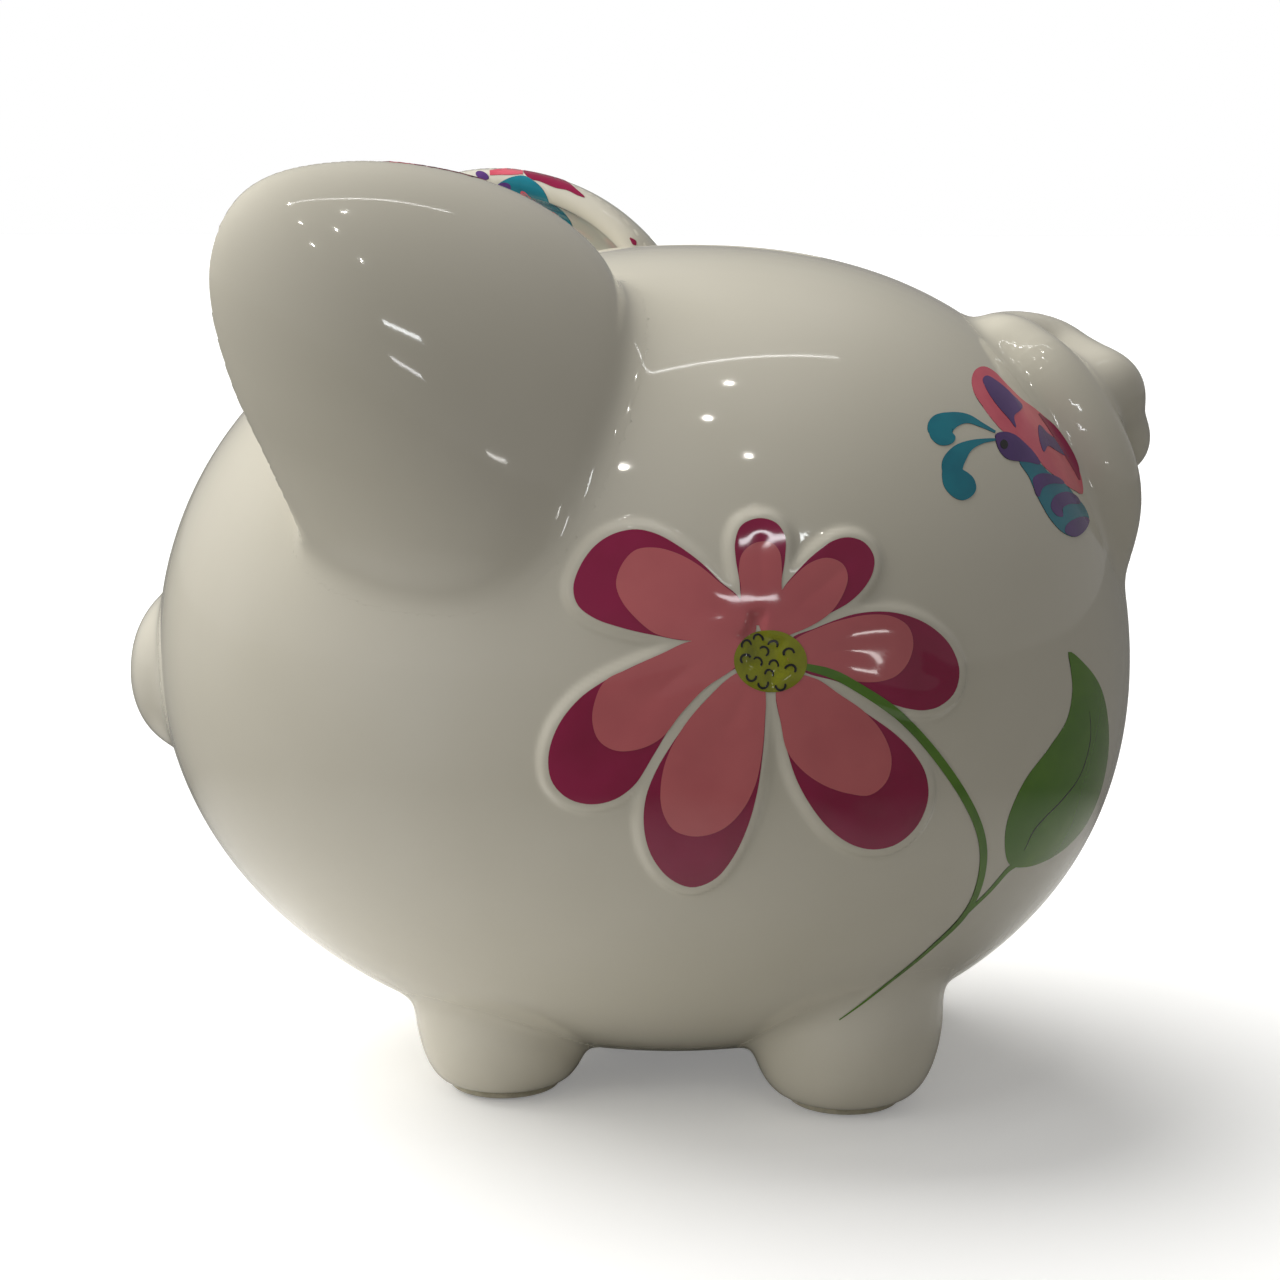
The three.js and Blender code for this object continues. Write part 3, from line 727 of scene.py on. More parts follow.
def lay(board, ab, reach=(-72.0, 16.0)):
    """Drops points of a drawing board onto the glaze, and gives its normal.
    A board with a fifth entry throws them from that point, as a projector."""
    o, e1, e2, w = board[:4]
    if board is EAR:
        ab = within_rim(ab)
    base = o + ab[:, :1] * e1 + ab[:, 1:2] * e2
    ways = unit(np.array(board[4]) - base) if len(board) > 4 else np.tile(w, (len(ab), 1))
    hi = np.full(len(ab), float(reach[1]))
    best, best_t = np.full(len(ab), 1e9), hi.copy()
    going = np.ones(len(ab), bool)
    while going.any():
        k = np.flatnonzero(going)
        nxt = hi[k] - 1.5
        f = field(base[k] + nxt[:, None] * ways[k])
        nearer = f < best[k]
        best[k[nearer]], best_t[k[nearer]] = f[nearer], nxt[nearer]
        hi[k[f >= 0]] = nxt[f >= 0]
        going[k[f < 0]] = False
        going &= hi > reach[0]
    missed = best >= 0
    lo = hi - 1.5
    for _ in range(14):
        mid = (lo + hi) / 2
        inside = field(base + mid[:, None] * ways) < 0
        lo, hi = np.where(inside, mid, lo), np.where(inside, hi, mid)
    p = base + np.where(missed, best_t, (lo + hi) / 2)[:, None] * ways
    if missed.any():
        q = p[missed]
        for _ in range(8):
            g = gradient(q)
            q = q - np.clip(field(q) / np.maximum((g * g).sum(1), 0.05), -2, 2)[:, None] * g
        p[missed] = q
    return p, unit(gradient(p))


def board_at(direction):
    n = unit(np.array([direction], float))
    p = C + n * radius(n)[:, None]
    return chart(p[0], gradient(p)[0])


class Sheet:
    """Collects thin pieces of paint of one colour, for both sides."""
    def __init__(self):
        self.v, self.n, self.f = [], [], []
        self.count = 0

    def add(self, p, n, top, edge, lift, deep=0.35):
        m = len(p)
        self.v += [p + n * lift, p - n * deep]
        self.n += [n, -n]
        f = [list(t) for t in top] + [[i + m for i in reversed(t)] for t in top]
        f += [[a, a + m, b + m, b] for a, b in zip(edge, edge[1:] + edge[:1])]
        self.f += [[i + self.count for i in t] for t in f]
        self.count += 2 * m

    def write(self, name, mat, sides=(1, -1)):
        v, n = np.vstack(self.v), np.vstack(self.n)
        for s, word in ((1, "left"), (-1, "right")):
            if s in sides:
                k = np.array([s, 1, 1])
                write(f"{name}_{word}", v * k, self.f if s > 0 else [t[::-1] for t in self.f], n * k, mats=(PAINT[mat],))


def blob(sheet, board, outline, lift, rings=7, centre=None, reach=(-72.0, 16.0)):
    """A painted patch: its outline is seen whole from its centre."""
    m = len(outline)
    c = outline.mean(0) if centre is None else np.array(centre, float)
    k = np.sin(np.linspace(0, math.pi / 2, rings + 1)[1:])
    ab = np.vstack([[c]] + [c + s * (outline - c) for s in k])
    p, n = lay(board, ab, reach)
    top = [[0, 1 + i, 1 + (i + 1) % m] for i in range(m)]
    for r in range(rings - 1):
        a, b = 1 + r * m, 1 + (r + 1) * m
        top += [[a + i, b + i, b + (i + 1) % m, a + (i + 1) % m] for i in range(m)]
    edge = list(range(1 + (rings - 1) * m, 1 + rings * m))
    if ((outline - np.roll(outline, 1, 0)) * (np.roll(outline, -1, 0) - outline)[:, ::-1] * [1, -1]).sum() < 0:
        top, edge = [t[::-1] for t in top], edge[::-1]
    sheet.add(p, n, top, edge[::-1] if False else edge, lift)


def stroke(sheet, board, points, widths, lift, m=60, across=4, reach=(-72.0, 16.0)):
    """A brush line with its own width at each of its points."""
    q = path([(x, y, w) for (x, y), w in zip(points, widths)], m)
    t = unit(np.gradient(q[:, :2], axis=0))
    side = np.stack([-t[:, 1], t[:, 0]], 1)
    u = np.linspace(-1, 1, across + 1)
    ab = (q[:, None, :2] + side[:, None] * (u[None, :, None] * q[:, None, 2:3] / 2)).reshape(-1, 2)
    p, n = lay(board, ab, reach)
    w = across + 1
    top = [[i * w + j, (i + 1) * w + j, (i + 1) * w + j + 1, i * w + j + 1] for i in range(m - 1) for j in range(across)]
    edge = [i * w for i in range(m)] + [(m - 1) * w + j for j in range(1, w)] + [i * w + across for i in range(m - 2, -1, -1)] + [j for j in range(across - 1, 0, -1)]
    sheet.add(p, n, top, edge, lift)


# flower
outer, inner, heart, dots = Sheet(), Sheet(), Sheet(), Sheet()
for big, small in PETALS:
    blob(outer, FLOWER, loop(big, 96), 0.07, 12)
    blob(inner, FLOWER, loop(small, 96), 0.17, 12)
heart_line = ellipse(0, 0, *EYE, turn=-0.12)
blob(heart, FLOWER, heart_line, 0.27, 8)
ARCS = [(-4.8, 3.5, 0.2), (-2.2, 4.7, -0.1), (0.7, 3.5, -0.3), (3.7, 1.8, 0.2), (-1.2, 2.2, -0.9), (-5, 0.8, 0.6), (-2.6, 0.1, -0.8), (0.8, -0.5, -0.2), (4, -1.4, -0.4), (-0.3, -2.4, -0.3), (-3.9, -2.5, 3.0), (-1.6, -4.0, 3.2), (1.9, -4.5, 3.3)]
for x, y, turn in ARCS:
    a = np.linspace(math.radians(-12), math.radians(192), 9) + turn
    stroke(dots, FLOWER, list(zip(x + 0.95 * np.cos(a), y - 0.3 + 0.95 * np.sin(a))), [0.28] + [0.42] * 7 + [0.28], 0.36, m=18, across=2)
outer.write("flower_petals", "magenta")
inner.write("flower_petal_hearts", "pink")
heart.write("flower_centre", "olive")
dots.write("flower_centre_marks", "black")

# stem and leaf
stem = Sheet()
stroke(stem, FLOWER, [(6.9, -1.2), (11.8, -2.6), (16.6, -5), (26.8, -11.8), (36.2, -21.5), (44.6, -32.9), (48.4, -41.7), (48.7, -50.4), (46.2, -57.1), (40.2, -63.8), (33.3, -70.7), (27.5, -75.8), (21.8, -80.3)],
       [1.3, 1.75, 1.8, 1.8, 1.8, 1.8, 1.75, 1.6, 1.35, 0.95, 0.6, 0.4, 0.18], 0.23, m=300)
stem.write("flower_stem", "green")
leaf, vein = Sheet(), Sheet()
blob(leaf, LEAF, loop([(2.8, 24.8), (9.7, 21.1), (17.6, 14.6), (23.6, 5.2), (26.8, -3.8), (27, -12.3), (24, -18), (17.4, -21.3), (9, -22.9), (-1, -22.8), (-7.6, -20.6), (-12, -13.5), (-12.6, -8), (-9.9, -0.7), (-3.1, 5.7), (2.4, 10.8), (4.1, 16.6), (3.4, 21.6)], 120), 0.11, 16, centre=(10, 0))
stroke(leaf, LEAF, [(-4.5, -21), (-7.2, -22.6), (-9.9, -26.9), (-12.4, -30.3), (-14.4, -33.6)], [1.9, 1.7, 1.5, 1.3, 1.0], 0.1, m=40)
stroke(vein, LEAF, [(11.9, 10.9), (13.5, 4.1), (11.3, -3.1), (5.5, -7.6), (0.4, -10.6), (-2.9, -13.6), (-3.9, -18)], [0.12, 0.3, 0.36, 0.4, 0.4, 0.36, 0.15], 0.13, m=60, across=2)
leaf.write("leaf", "leaf")
vein.write("leaf_vein", "black")

# butterfly on the rump, drawn as the viewer sees it across the tail's root
VIEW_W = unit(EYE_AT - AIM_AT)
VIEW_X = unit(np.cross([0, 0, 1.0], VIEW_W))
VIEW_Y = np.cross(VIEW_W, VIEW_X)
FLY_O = np.array([36.91, 86.84, 149.57])
FLY = (FLY_O, VIEW_X, VIEW_Y, VIEW_W, EYE_AT)
NEAR = (-60.0, 45.0)
teal, purple, coral, magenta, black = Sheet(), Sheet(), Sheet(), Sheet(), Sheet()
stroke(teal, FLY, [(-3.2, 1.7), (-6.1, 3.2), (-9.1, 4.5), (-12, 4.3), (-14.7, 2.9), (-14.9, 1.4)], [0.5, 1.0, 1.9, 3.4, 5.6, 4.6], 0.12, m=80, across=6, reach=NEAR)
blob(teal, FLY, loop([(-16.1, 4.7), (-17.3, 2.9), (-17, 0.6), (-15.5, -0.9), (-13.9, -1.2), (-12.2, -0.6), (-11.7, 0.6), (-12.5, 1.8), (-12.4, 3.2), (-13.9, 4.7)], 60), 0.14, 6, reach=NEAR)
stroke(teal, FLY, [(-3.1, 0.1), (-6.1, -0.3), (-8.7, -1.2), (-10.7, -2.7), (-12.2, -4.9), (-12.4, -7.1)], [0.5, 1.1, 2.2, 3.8, 4.6, 4.2], 0.12, m=80, across=6, reach=NEAR)
blob(teal, FLY, loop([(-13.7, -4.2), (-14.5, -6.4), (-14.2, -9.7), (-12.4, -12), (-10.2, -12.9), (-8.3, -12.1), (-7.3, -10.5), (-7.8, -8.3), (-9.1, -7), (-10.4, -6.1), (-10.7, -4.6), (-12.4, -3.3)], 70), 0.14, 6, reach=NEAR)
blob(coral, FLY, loop([(-5.6, 15.7), (-7.4, 15), (-8.2, 12.9), (-7.6, 9.9), (-5.7, 6.9), (-3.5, 4), (-1.3, 1.7), (0.9, 1), (3.2, -0.9), (5.4, -3.1), (7.2, -5.7), (9.8, -7.9), (12, -9.7), (13.9, -10.9), (15.4, -11.6), (15.4, -9), (14.3, -5.3), (12.8, -2.3), (10.9, 0.6), (8.3, 4), (5.4, 6.6), (2.4, 8.8), (-1.3, 12.5), (-3.5, 14.7)], 120), 0.10, 14, centre=(4.6, 0.6), reach=NEAR)
blob(purple, FLY, loop([(-5.9, 13), (-5.1, 13.7), (-2.8, 12.5), (0.2, 9.9), (2.6, 7.1), (2, 6.2), (0.8, 5.1), (1.2, 2.6), (-0.5, 4.7), (-2.8, 7.3), (-5, 10.6)], 70), 0.18, 8, centre=(-1.3, 8.6), reach=NEAR)
blob(purple, FLY, loop([(6.1, 3.2), (8, 1.4), (10.9, -0.9), (12.6, -3.8), (9.8, -2.3), (8, -1.3), (7.2, -2.6), (6.1, 0.6)], 60), 0.18, 7, centre=(7.5, -0), reach=NEAR)
stroke(magenta, FLY, [(6.1, 5.6), (9.1, 2.3), (11.7, -1.6), (13.7, -5.3), (14.8, -8.6)], [0.3, 1.6, 2.0, 1.6, 0.3], 0.18, m=50, reach=NEAR)
blob(teal, FLY, loop([(2, -4.6), (3.9, -4.7), (6.3, -5.1), (8, -6.8), (10.2, -8.3), (12.4, -10.1), (13.9, -12), (15.8, -14.2), (16.8, -16.8), (16.1, -19.2), (13.9, -20.7), (11.3, -19.8), (8.7, -17.1), (6.9, -14.2), (5.4, -11.2), (4, -7.9)], 90), 0.14, 10, reach=NEAR)
blob(purple, FLY, loop([(-3.1, 1.2), (-1.3, 1.7), (0.9, 1.1), (3.2, -0.8), (5, -2.7), (6.4, -5.2), (3.9, -4.8), (2, -4.6), (-0.5, -4.1), (-2, -2.8), (-2.9, -0.9)], 70), 0.18, 8, reach=NEAR)
blob(purple, FLY, loop([(4.8, -8.3), (6.1, -7.3), (8.3, -7.3), (10.8, -8.4), (11.5, -9.3), (8.7, -9.4), (6.9, -10.3), (6.1, -12.2), (5.7, -12), (5.1, -10.5)], 60), 0.19, 6, centre=(7, -8.6), reach=NEAR)
blob(purple, FLY, loop([(8.6, -14.3), (9.5, -12), (12, -11.1), (14.1, -12), (14.9, -13.6), (12.6, -13.7), (11.1, -14.7), (11.2, -16.4), (9.9, -16.2)], 60), 0.19, 6, centre=(10.9, -12.9), reach=NEAR)
blob(purple, FLY, loop([(11.7, -19.8), (11.9, -18.3), (13.5, -17), (15.8, -16.4), (16.8, -17), (16.1, -19.1), (14, -20.7)], 60), 0.19, 6, reach=NEAR)
blob(black, FLY, ellipse(-1.4, -1, 0.8, 1.0, 0.2), 0.24, 4, reach=NEAR)
coral.write("fly_wings", "coral")
teal.write("fly_body", "teal")
purple.write("fly_marks", "purple")
magenta.write("fly_wing_edge", "magenta")
black.write("fly_eye", "black")

# butterfly inside each ear: only a strip of it shows past the near ear

def within_rim(ab, spare=0.9):
    q = ab - np.array(EAR_CENTRE)
    r, a = np.hypot(q[:, 0], q[:, 1]), np.arctan2(q[:, 1], q[:, 0])
    most = np.interp(a, EAR_AT, EAR_REACH) + spare
    return np.array(EAR_CENTRE) + q * np.minimum(1, most / np.maximum(r, 1e-6))[:, None]


CUP = (-44.0, 6.0)
teal, purple, coral, magenta = Sheet(), Sheet(), Sheet(), Sheet()
# the parts on the rounded rim are drawn as they are seen on the far ear
RIM = (np.array([70.19, -34.45, 201.15]), VIEW_X * [1, -1, -1], VIEW_Y * [-1, 1, 1], VIEW_W * [-1, 1, 1], EYE_AT * [-1, 1, 1])
OVER = (-40.0, 34.0)
blob(teal, RIM, loop([(10.28, 0.77), (9.51, 1.54), (7.71, 3.08), (5.4, 4.29), (3.08, 4.88), (1.29, 4.83), (-1.21, 3.47), (-2.9, 1.93), (-4.29, -0.26), (-5.14, -2.83), (-5.47, -5.22), (-4.88, -7.71), (-1.29, -7.97), (2.57, -5.4), (6.42, -2.06)], 100), 0.16, 12, centre=(1.54, -1.29), reach=OVER)
stroke(purple, RIM, [(8.22, 1.41), (7.84, 2.31), (6.68, 2.7), (5.4, 2.31), (5.4, 1.29), (6.42, 0.9), (7.07, 1.41)], [0.4, 0.9, 1.0, 1.0, 0.8, 0.7, 0.4], 0.24, m=50, reach=OVER)
stroke(coral, RIM, [(10.28, 5.65), (7.71, 5.91), (4.63, 5.96), (1.8, 5.81)], [1.2, 1.5, 1.6, 0.9], 0.14, m=50, reach=OVER)
blob(magenta, RIM, loop([(1.72, 6.3), (-2.06, 5.91), (-5.91, 4.88), (-9.51, 3.34), (-12.08, 1.29), (-14.13, -0.64), (-12.34, -0.13), (-9.51, 1.23), (-6.68, 1.8), (-4.37, 2.7), (-2.57, 3.47), (0.18, 4.32)], 80), 0.14, 7, centre=(-5.65, 3.6), reach=OVER)
blob(purple, RIM, ellipse(12.21, 4.96, 1.75, 0.95, 0.4, m=40), 0.2, 4, reach=OVER)
# painted reflection: this small magenta dab low at the rim's outer end stands for a pink reflection, not for part of
# the band
stroke(magenta, RIM, [(-25.7, -11.05), (-26.73, -12.21), (-27.24, -12.85)], [0.3, 1.2, 0.3], 0.14, m=20, reach=OVER)
blob(teal, EAR, loop([(28.9, 48.4), (24.2, 47.3), (20.8, 46), (17.8, 43.4), (15.9, 39.5), (15.8, 35.5), (19, 31.8), (25, 29.8), (33, 29.5), (44.5, 29), (43.4, 34), (40.5, 40), (35.5, 45.6)], 120), 0.1, 12, reach=CUP)
for (x, y), r in (((21.8, 40.2), 1.5), ((22.6, 35), 1.3), ((28.5, 33.6), 1.2), ((33.5, 41), 1.6), ((37, 34.5), 1.3)):
    blob(coral, EAR, ellipse(x, y, r, r * 1.2, 0.5, m=32), 0.16, 3, reach=CUP)
blob(teal, EAR, loop([(47.8, 29), (53, 33), (58, 38.6), (63.5, 41), (68, 38.6), (69.8, 33), (67.5, 28.2), (61, 26.6), (53, 27)], 110), 0.1, 10, reach=CUP)
for (x, y), r in (((64.5, 35.8), 1.7), ((60, 31), 1.4), ((66, 30.8), 1.2)):
    blob(coral, EAR, ellipse(x, y, r, r * 1.2, -0.5, m=32), 0.16, 3, reach=CUP)
blob(coral, EAR, loop([(46, 26.5), (38, 27), (30, 26.2), (26.3, 22.8), (28.2, 19), (34, 17.4), (40.5, 19), (45.5, 23)], 90), 0.1, 9, reach=CUP)
blob(magenta, EAR, ellipse(32.5, 22, 3.0, 2.2, 0.1), 0.16, 4, reach=CUP)
blob(coral, EAR, loop([(49, 25), (56, 24.6), (62.6, 24), (66.4, 20.8), (64.6, 17.4), (60, 16.4), (54, 18), (50, 21.5)], 90), 0.1, 9, reach=CUP)
blob(magenta, EAR, ellipse(60.3, 20.5, 2.8, 2.0, -0.1), 0.16, 4, reach=CUP)
stroke(purple, EAR, [(49.8, 18.5), (48.8, 22), (47.6, 27), (46.6, 32), (46, 35.4)], [1.4, 3.4, 4.2, 4.0, 3.0], 0.2, m=60, reach=CUP)
blob(purple, EAR, ellipse(45.7, 37, 2.7, 2.7), 0.22, 4, reach=CUP)
stroke(teal, EAR, [(45, 39.3), (43.8, 43.2), (43.4, 47), (45, 49.6), (47, 48.8), (46.6, 47.1)], [0.5, 0.7, 0.9, 1.2, 1.7, 1.6], 0.18, m=50, reach=CUP)
stroke(teal, EAR, [(47, 39), (49.4, 42.4), (52.4, 46), (55.6, 47.4), (57, 45.4), (55.6, 44.1)], [0.5, 0.7, 0.9, 1.2, 1.7, 1.6], 0.18, m=50, reach=CUP)
teal.write("ear_fly_wings", "teal")
purple.write("ear_fly_body", "purple")
coral.write("ear_fly_spots", "coral")
# the magenta sheet holds the real painted band and the painted reflection dab
magenta.write("ear_fly_band_and_painted_reflection", "magenta")

# a plain pair of painted eyes (the photograph doesn't show the face)
BROW = board_at((0.0, -1.0, 0.17))
eyes, painted_catch_light = Sheet(), Sheet()
blob(eyes, BROW, ellipse(11.0, 1.5, 3.2, 4.7, 0.06), 0.1, 5, reach=(-20.0, 12.0))
# painted highlight: the small white dot on each eye is a catch-light painted on, not a real reflection
blob(painted_catch_light, BROW, ellipse(9.9, 3.4, 0.95, 1.25, m=28), 0.16, 3, reach=(-20.0, 12.0))
eyes.write("eye", "black")
painted_catch_light.write("eye_painted_highlight", "white")

# ---------------------------------------------------------- pads and stopper
PAD = material("pad_foam", two((176, 170, 150), (196, 190, 170)), scale=300, rough=0.85, bump=0.00008, bump_scale=400, fine=0.00004, fine_scale=2500, ior=1.45)
VINYL = material("stopper_vinyl", two((198, 194, 184), (214, 210, 200)), scale=40, rough=0.42, bump=0.00006, bump_scale=60, fine=0.000012, fine_scale=3000, ior=1.48)


def turned(name, profile, at, body, mat, replace, around=96, extra=None):
    """A closed solid of revolution about Z; the profile runs from axis to axis."""
    pr = np.array(profile, float)
    a = np.linspace(0, 2 * math.pi, around, endpoint=False)
    v = [[at[0], at[1], pr[0, 1]]]
    for r, z in pr[1:-1]:
        v += np.column_stack([at[0] + r * np.cos(a), at[1] + r * np.sin(a), np.full(around, z)]).tolist()
    v.append([at[0], at[1], pr[-1, 1]])
    k = len(pr) - 2
    f = [[0, 1 + (i + 1) % around, 1 + i] for i in range(around)]
    for j in range(k - 1):
        b0, b1 = 1 + j * around, 1 + (j + 1) * around
        f += [[b0 + i, b0 + (i + 1) % around, b1 + (i + 1) % around, b1 + i] for i in range(around)]
    last = 1 + (k - 1) * around
    f += [[last + i, last + (i + 1) % around, len(v) - 1] for i in range(around)]
    if extra:
        ev, ef = extra
        f += [[i + len(v) for i in t] for t in ef]
        v += ev
    o = write(name, v, f, mats=(mat,), body=body)
    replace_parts(o, replace)
    return o


def rounded(corners, steps=5):
    """Profile with rounded corners: (r, z, corner radius)."""
    out = []
    for i, (r, z, c) in enumerate(corners):
        if c <= 0 or i in (0, len(corners) - 1):
            out.append((r, z))
            continue
        p = np.array([r, z], float)
        a = unit(np.array(corners[i - 1][:2], float) - p)
        b = unit(np.array(corners[i + 1][:2], float) - p)
        half = math.acos(np.clip(a @ b, -1, 1)) / 2
        cut = min(c / math.tan(half), 0.49 * np.linalg.norm(np.array(corners[i - 1][:2]) - p), 0.49 * np.linalg.norm(np.array(corners[i + 1][:2]) - p))
        for t in np.linspace(0, 1, steps + 1):
            out.append(tuple((1 - t) ** 2 * (p + a * cut) + 2 * t * (1 - t) * p + t * t * (p + b * cut)))
    return out


for name in ("front_left", "front_right", "rear_left", "rear_right"):
    lo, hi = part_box(f"foot_pad_{name}")
    lo, hi = np.array(lo) * 1000, np.array(hi) * 1000
    cx, cy, r = (lo[0] + hi[0]) / 2, (lo[1] + hi[1]) / 2, (hi[0] - lo[0]) / 2
    turned(f"pad_{name}", rounded([(0, lo[2], 0), (r - 2, lo[2], 0.5), (r, lo[2] + 0.25, 0.6), (r, hi[2], 0.7), (r - 3, hi[2], 0), (0, hi[2], 0)]), (cx, cy), "bank", PAD, f"foot_pad_{name}")

lo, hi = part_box("stopper")
lo, hi = np.array(lo) * 1000, np.array(hi) * 1000
sx, sy = (lo[0] + hi[0]) / 2, (lo[1] + hi[1]) / 2


def finger_tab():
    """The bar that a finger pulls: a rounded slab under the flange."""
    n, v, f = 28, [], []
    sections = [(5.6, 1.25), (3.6, 1.15), (3.1, 1.0), (2.82, 0.7), (2.7, 0.25)]
    for z, w in sections:
        a = np.linspace(0, 2 * math.pi, n, endpoint=False)
        x = 5.4 * np.sign(np.cos(a)) * np.abs(np.cos(a)) ** 0.35
        y = w * np.sign(np.sin(a)) * np.abs(np.sin(a)) ** 0.7
        s = 1 - (1.25 - w) * 0.16
        v += np.column_stack([sx + x * s, sy + y, np.full(n, z)]).tolist()
    for j in range(len(sections) - 1):
        f += [[j * n + i, (j + 1) * n + i, (j + 1) * n + (i + 1) % n, j * n + (i + 1) % n] for i in range(n)]
    f.append(list(range(n)))
    f.append([(len(sections) - 1) * n + i for i in reversed(range(n))])
    return v, f


turned("stopper_plug", rounded([
    (0, 5.9, 0), (12.2, 5.9, 0.3), (12.9, 5.35, 0.4), (14.2, 5.35, 0.4), (14.9, 5.9, 0.3), (17.6, 5.7, 0.4), (19.6, 5.3, 0.5), (20.0, 6.2, 0.5), (19.7, 7.15, 0.3),
    (15.7, 7.15, 0.3), (15.55, 9.0, 0.4), (15.1, 10.6, 0.5), (15.5, 12.2, 0.4), (14.9, 14.2, 0.5), (14.5, 16.6, 0.5), (12.9, 16.65, 0.4), (12.2, 15.4, 0.4), (12.0, 8.6, 0.8), (0, 8.4, 0)]),
    (sx, sy), "plug", VINYL, "stopper", extra=finger_tab())

# ------------------------------------------------------- camera and the studio
scene = bpy.context.scene
cam = bpy.data.cameras.new("camera")
cam.lens, cam.sensor_width, cam.clip_start, cam.clip_end = 71.71875, 36.0, 0.01, 50.0
co = bpy.data.objects.new("camera", cam)
scene.collection.objects.link(co)
eye, aim = EYE_AT / 1000, AIM_AT / 1000
from mathutils import Vector
co.location = Vector(eye)
co.rotation_euler = Vector(aim - eye).to_track_quat("-Z", "Y").to_euler()
scene.camera = co

# The floor shows pale, and throws back only as much light as a dull table.
floor_mat = material("floor_pale", two((248, 248, 247), (251, 251, 250)), scale=3, rough=0.55, bump=0.00002, bump_scale=30, ior=1.3)
nt = floor_mat.node_tree
out = next(n for n in nt.nodes if n.type == "OUTPUT_MATERIAL")
pale = next(n for n in nt.nodes if n.type == "BSDF_PRINCIPLED")
pale.inputs["Emission Color"].default_value = (1, 1, 1, 1)
pale.inputs["Emission Strength"].default_value = 0.2
dull = nt.nodes.new("ShaderNodeBsdfDiffuse")
tc, far = nt.nodes.new("ShaderNodeTexCoord"), nt.nodes.new("ShaderNodeVectorMath")
far.operation = "LENGTH"
nt.links.new(tc.outputs["Object"], far.inputs[0])
mat_ramp = ramp(nt, [(0.11, (0.72, 0.71, 0.68)), (0.25, (0.13, 0.127, 0.12))])
nt.links.new(far.outputs["Value"], mat_ramp.inputs[0])
nt.links.new(mat_ramp.outputs[0], dull.inputs["Color"])
lp, mix = nt.nodes.new("ShaderNodeLightPath"), nt.nodes.new("ShaderNodeMixShader")
nt.links.new(lp.outputs["Is Camera Ray"], mix.inputs[0])
nt.links.new(dull.outputs[0], mix.inputs[1])
nt.links.new(pale.outputs[0], mix.inputs[2])
under, geo, clear = nt.nodes.new("ShaderNodeMixShader"), nt.nodes.new("ShaderNodeNewGeometry"), nt.nodes.new("ShaderNodeBsdfTransparent")
nt.links.new(geo.outputs["Backfacing"], under.inputs[0])
nt.links.new(mix.outputs[0], under.inputs[1])
nt.links.new(clear.outputs[0], under.inputs[2])
nt.links.new(under.outputs[0], out.inputs[0])
me = bpy.data.meshes.new("floor")
S = 12.0
me.from_pydata([(-S, -S, -0.0004), (S, -S, -0.0004), (S, S, -0.0004), (-S, S, -0.0004)], [], [(0, 1, 2, 3)])
me.materials.append(floor_mat)
floor = bpy.data.objects.new("floor", me)
scene.collection.objects.link(floor)


def lamp(name, at, to, size, watts, colour=(1, 1, 1), shape="RECTANGLE", size_y=None):
    d = bpy.data.lights.new(name, "AREA")
    d.shape, d.size, d.energy, d.color = shape, size, watts, colour
    if shape in ("RECTANGLE", "ELLIPSE"):
        d.size_y = size_y or size
    o = bpy.data.objects.new(name, d)
    o.location = Vector(at)
    o.rotation_euler = (Vector(to) - Vector(at)).to_track_quat("-Z", "Y").to_euler()
    scene.collection.objects.link(o)
    return o


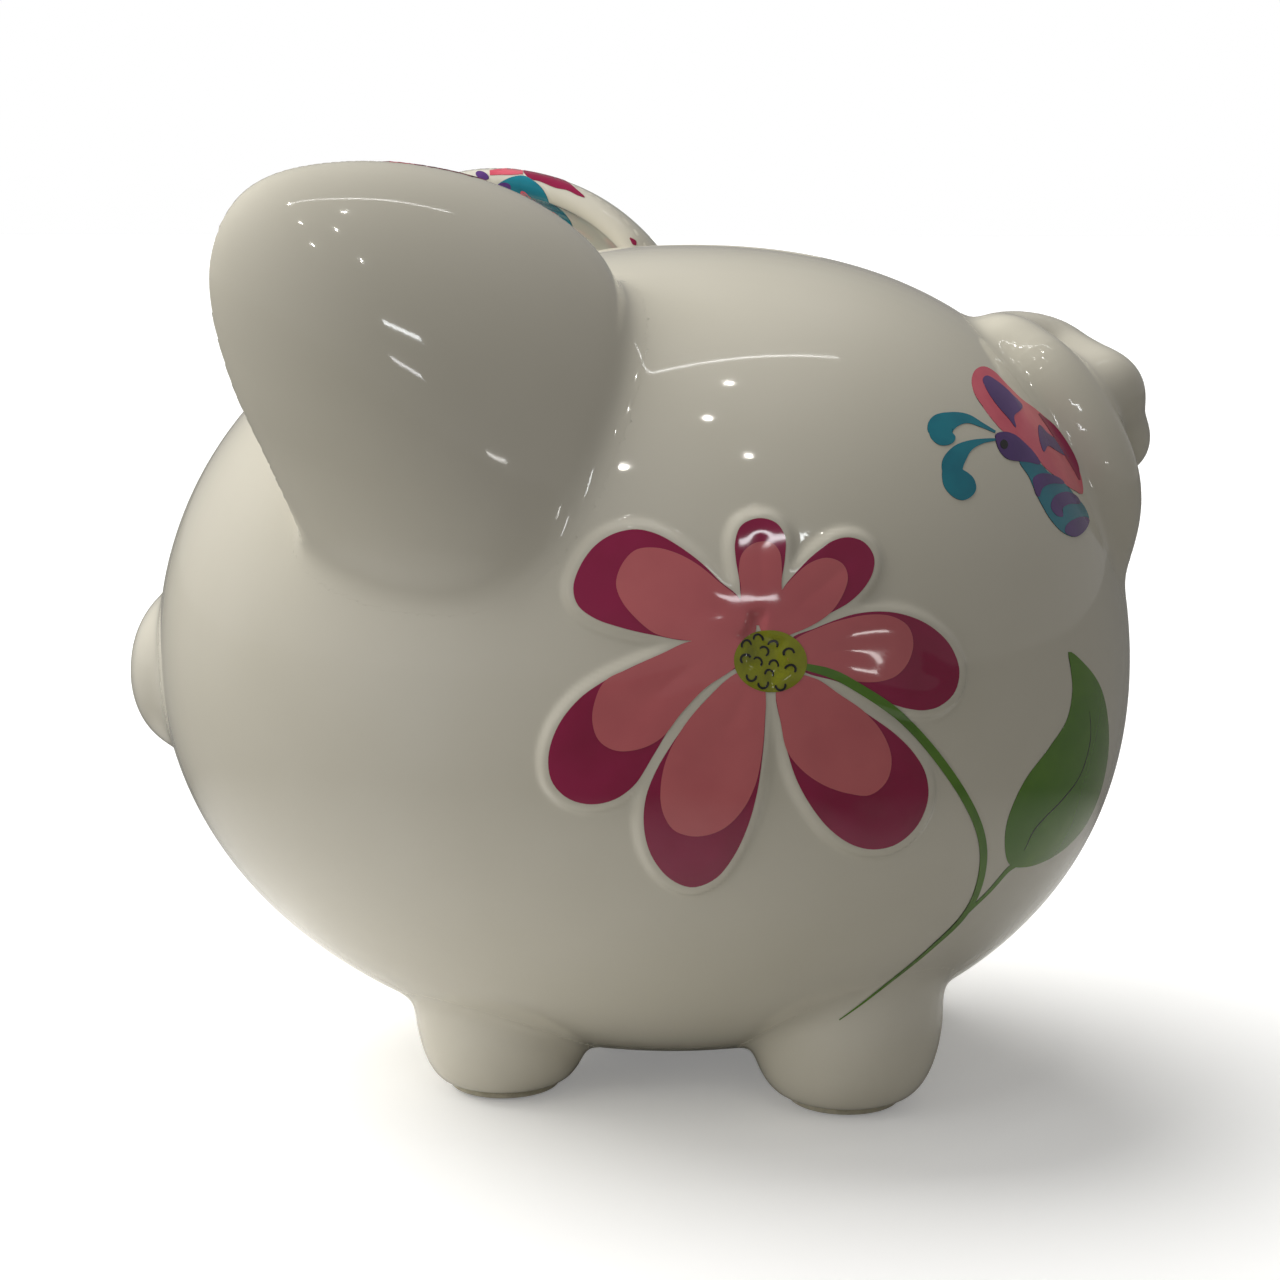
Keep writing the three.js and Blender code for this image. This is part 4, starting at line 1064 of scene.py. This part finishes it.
sun = bpy.data.lights.new("soft_sun", "SUN")
sun.energy, sun.angle, sun.color = 3.8, math.radians(70), (1.0, 0.995, 0.98)
so = bpy.data.objects.new("soft_sun", sun)
so.visible_glossy = False
so.rotation_euler = Vector((0.42, 0.60, -0.85)).to_track_quat("-Z", "Y").to_euler()
scene.collection.objects.link(so)
side = bpy.data.lights.new("front_fill", "SUN")
side.energy, side.angle, side.color = 1.4, math.radians(60), (1.0, 0.995, 0.98)
fo = bpy.data.objects.new("front_fill", side)
fo.visible_glossy = False
fo.rotation_euler = Vector((-0.30, 0.90, -0.27)).to_track_quat("-Z", "Y").to_euler()
scene.collection.objects.link(fo)
for k, (x, y, z) in enumerate([(0.9, -0.35, 2.3), (0.35, -0.55, 2.4), (0.75, 0.3, 2.4), (0.2, 0.35, 2.5), (1.2, 0.7, 2.3), (1.3, -0.2, 2.0)]):
    lamp(f"ceiling_spot_{k}", (x, y, z), (0, 0, 0.1), 0.05, 0.5, (1.0, 0.97, 0.92), "DISK")
lamp("window_0", (1.37, 0.77, 1.17), (0.1, -0.03, 0.17), 0.50, 0.9, (0.95, 0.98, 1.0), size_y=0.05)
lamp("window_1", (1.68, 0.62, 0.74), (0.09, 0.03, 0.12), 0.42, 0.5, (0.97, 0.97, 1.0), size_y=0.045)
lamp("window_2", (1.31, 1.37, 0.27), (0.09, 0.06, 0.12), 0.22, 0.22, (1.0, 0.98, 0.95), size_y=0.04)
lamp("rail", (-0.1, 0.15, 2.2), (0, 0, 0.1), 0.014, 0.8, (1, 1, 1), size_y=1.6)
world = bpy.data.worlds.new("studio")
scene.world = world
world.use_nodes = True
nt = world.node_tree
nt.nodes.clear()
out = nt.nodes.new("ShaderNodeOutputWorld")
bg = node(nt, "ShaderNodeBackground", Strength=1.0)
tc = nt.nodes.new("ShaderNodeTexCoord")
sep = nt.nodes.new("ShaderNodeSeparateXYZ")
nt.links.new(tc.outputs["Generated"], sep.inputs[0])
sky = ramp(nt, [(0.0, (0.27, 0.262, 0.248)), (0.35, (0.215, 0.21, 0.205)), (1.0, (0.155, 0.155, 0.158))])
nt.links.new(sep.outputs["Z"], sky.inputs[0])
nt.links.new(sky.outputs[0], bg.inputs["Color"])
bright = node(nt, "ShaderNodeBackground", Color=(1, 1, 1, 1), Strength=1.0)
mix = nt.nodes.new("ShaderNodeMixShader")
lp = nt.nodes.new("ShaderNodeLightPath")
nt.links.new(lp.outputs["Is Camera Ray"], mix.inputs[0])
nt.links.new(bg.outputs[0], mix.inputs[1])
nt.links.new(bright.outputs[0], mix.inputs[2])
nt.links.new(mix.outputs[0], out.inputs[0])
scene.view_settings.view_transform = "Standard"
scene.view_settings.look = "None"
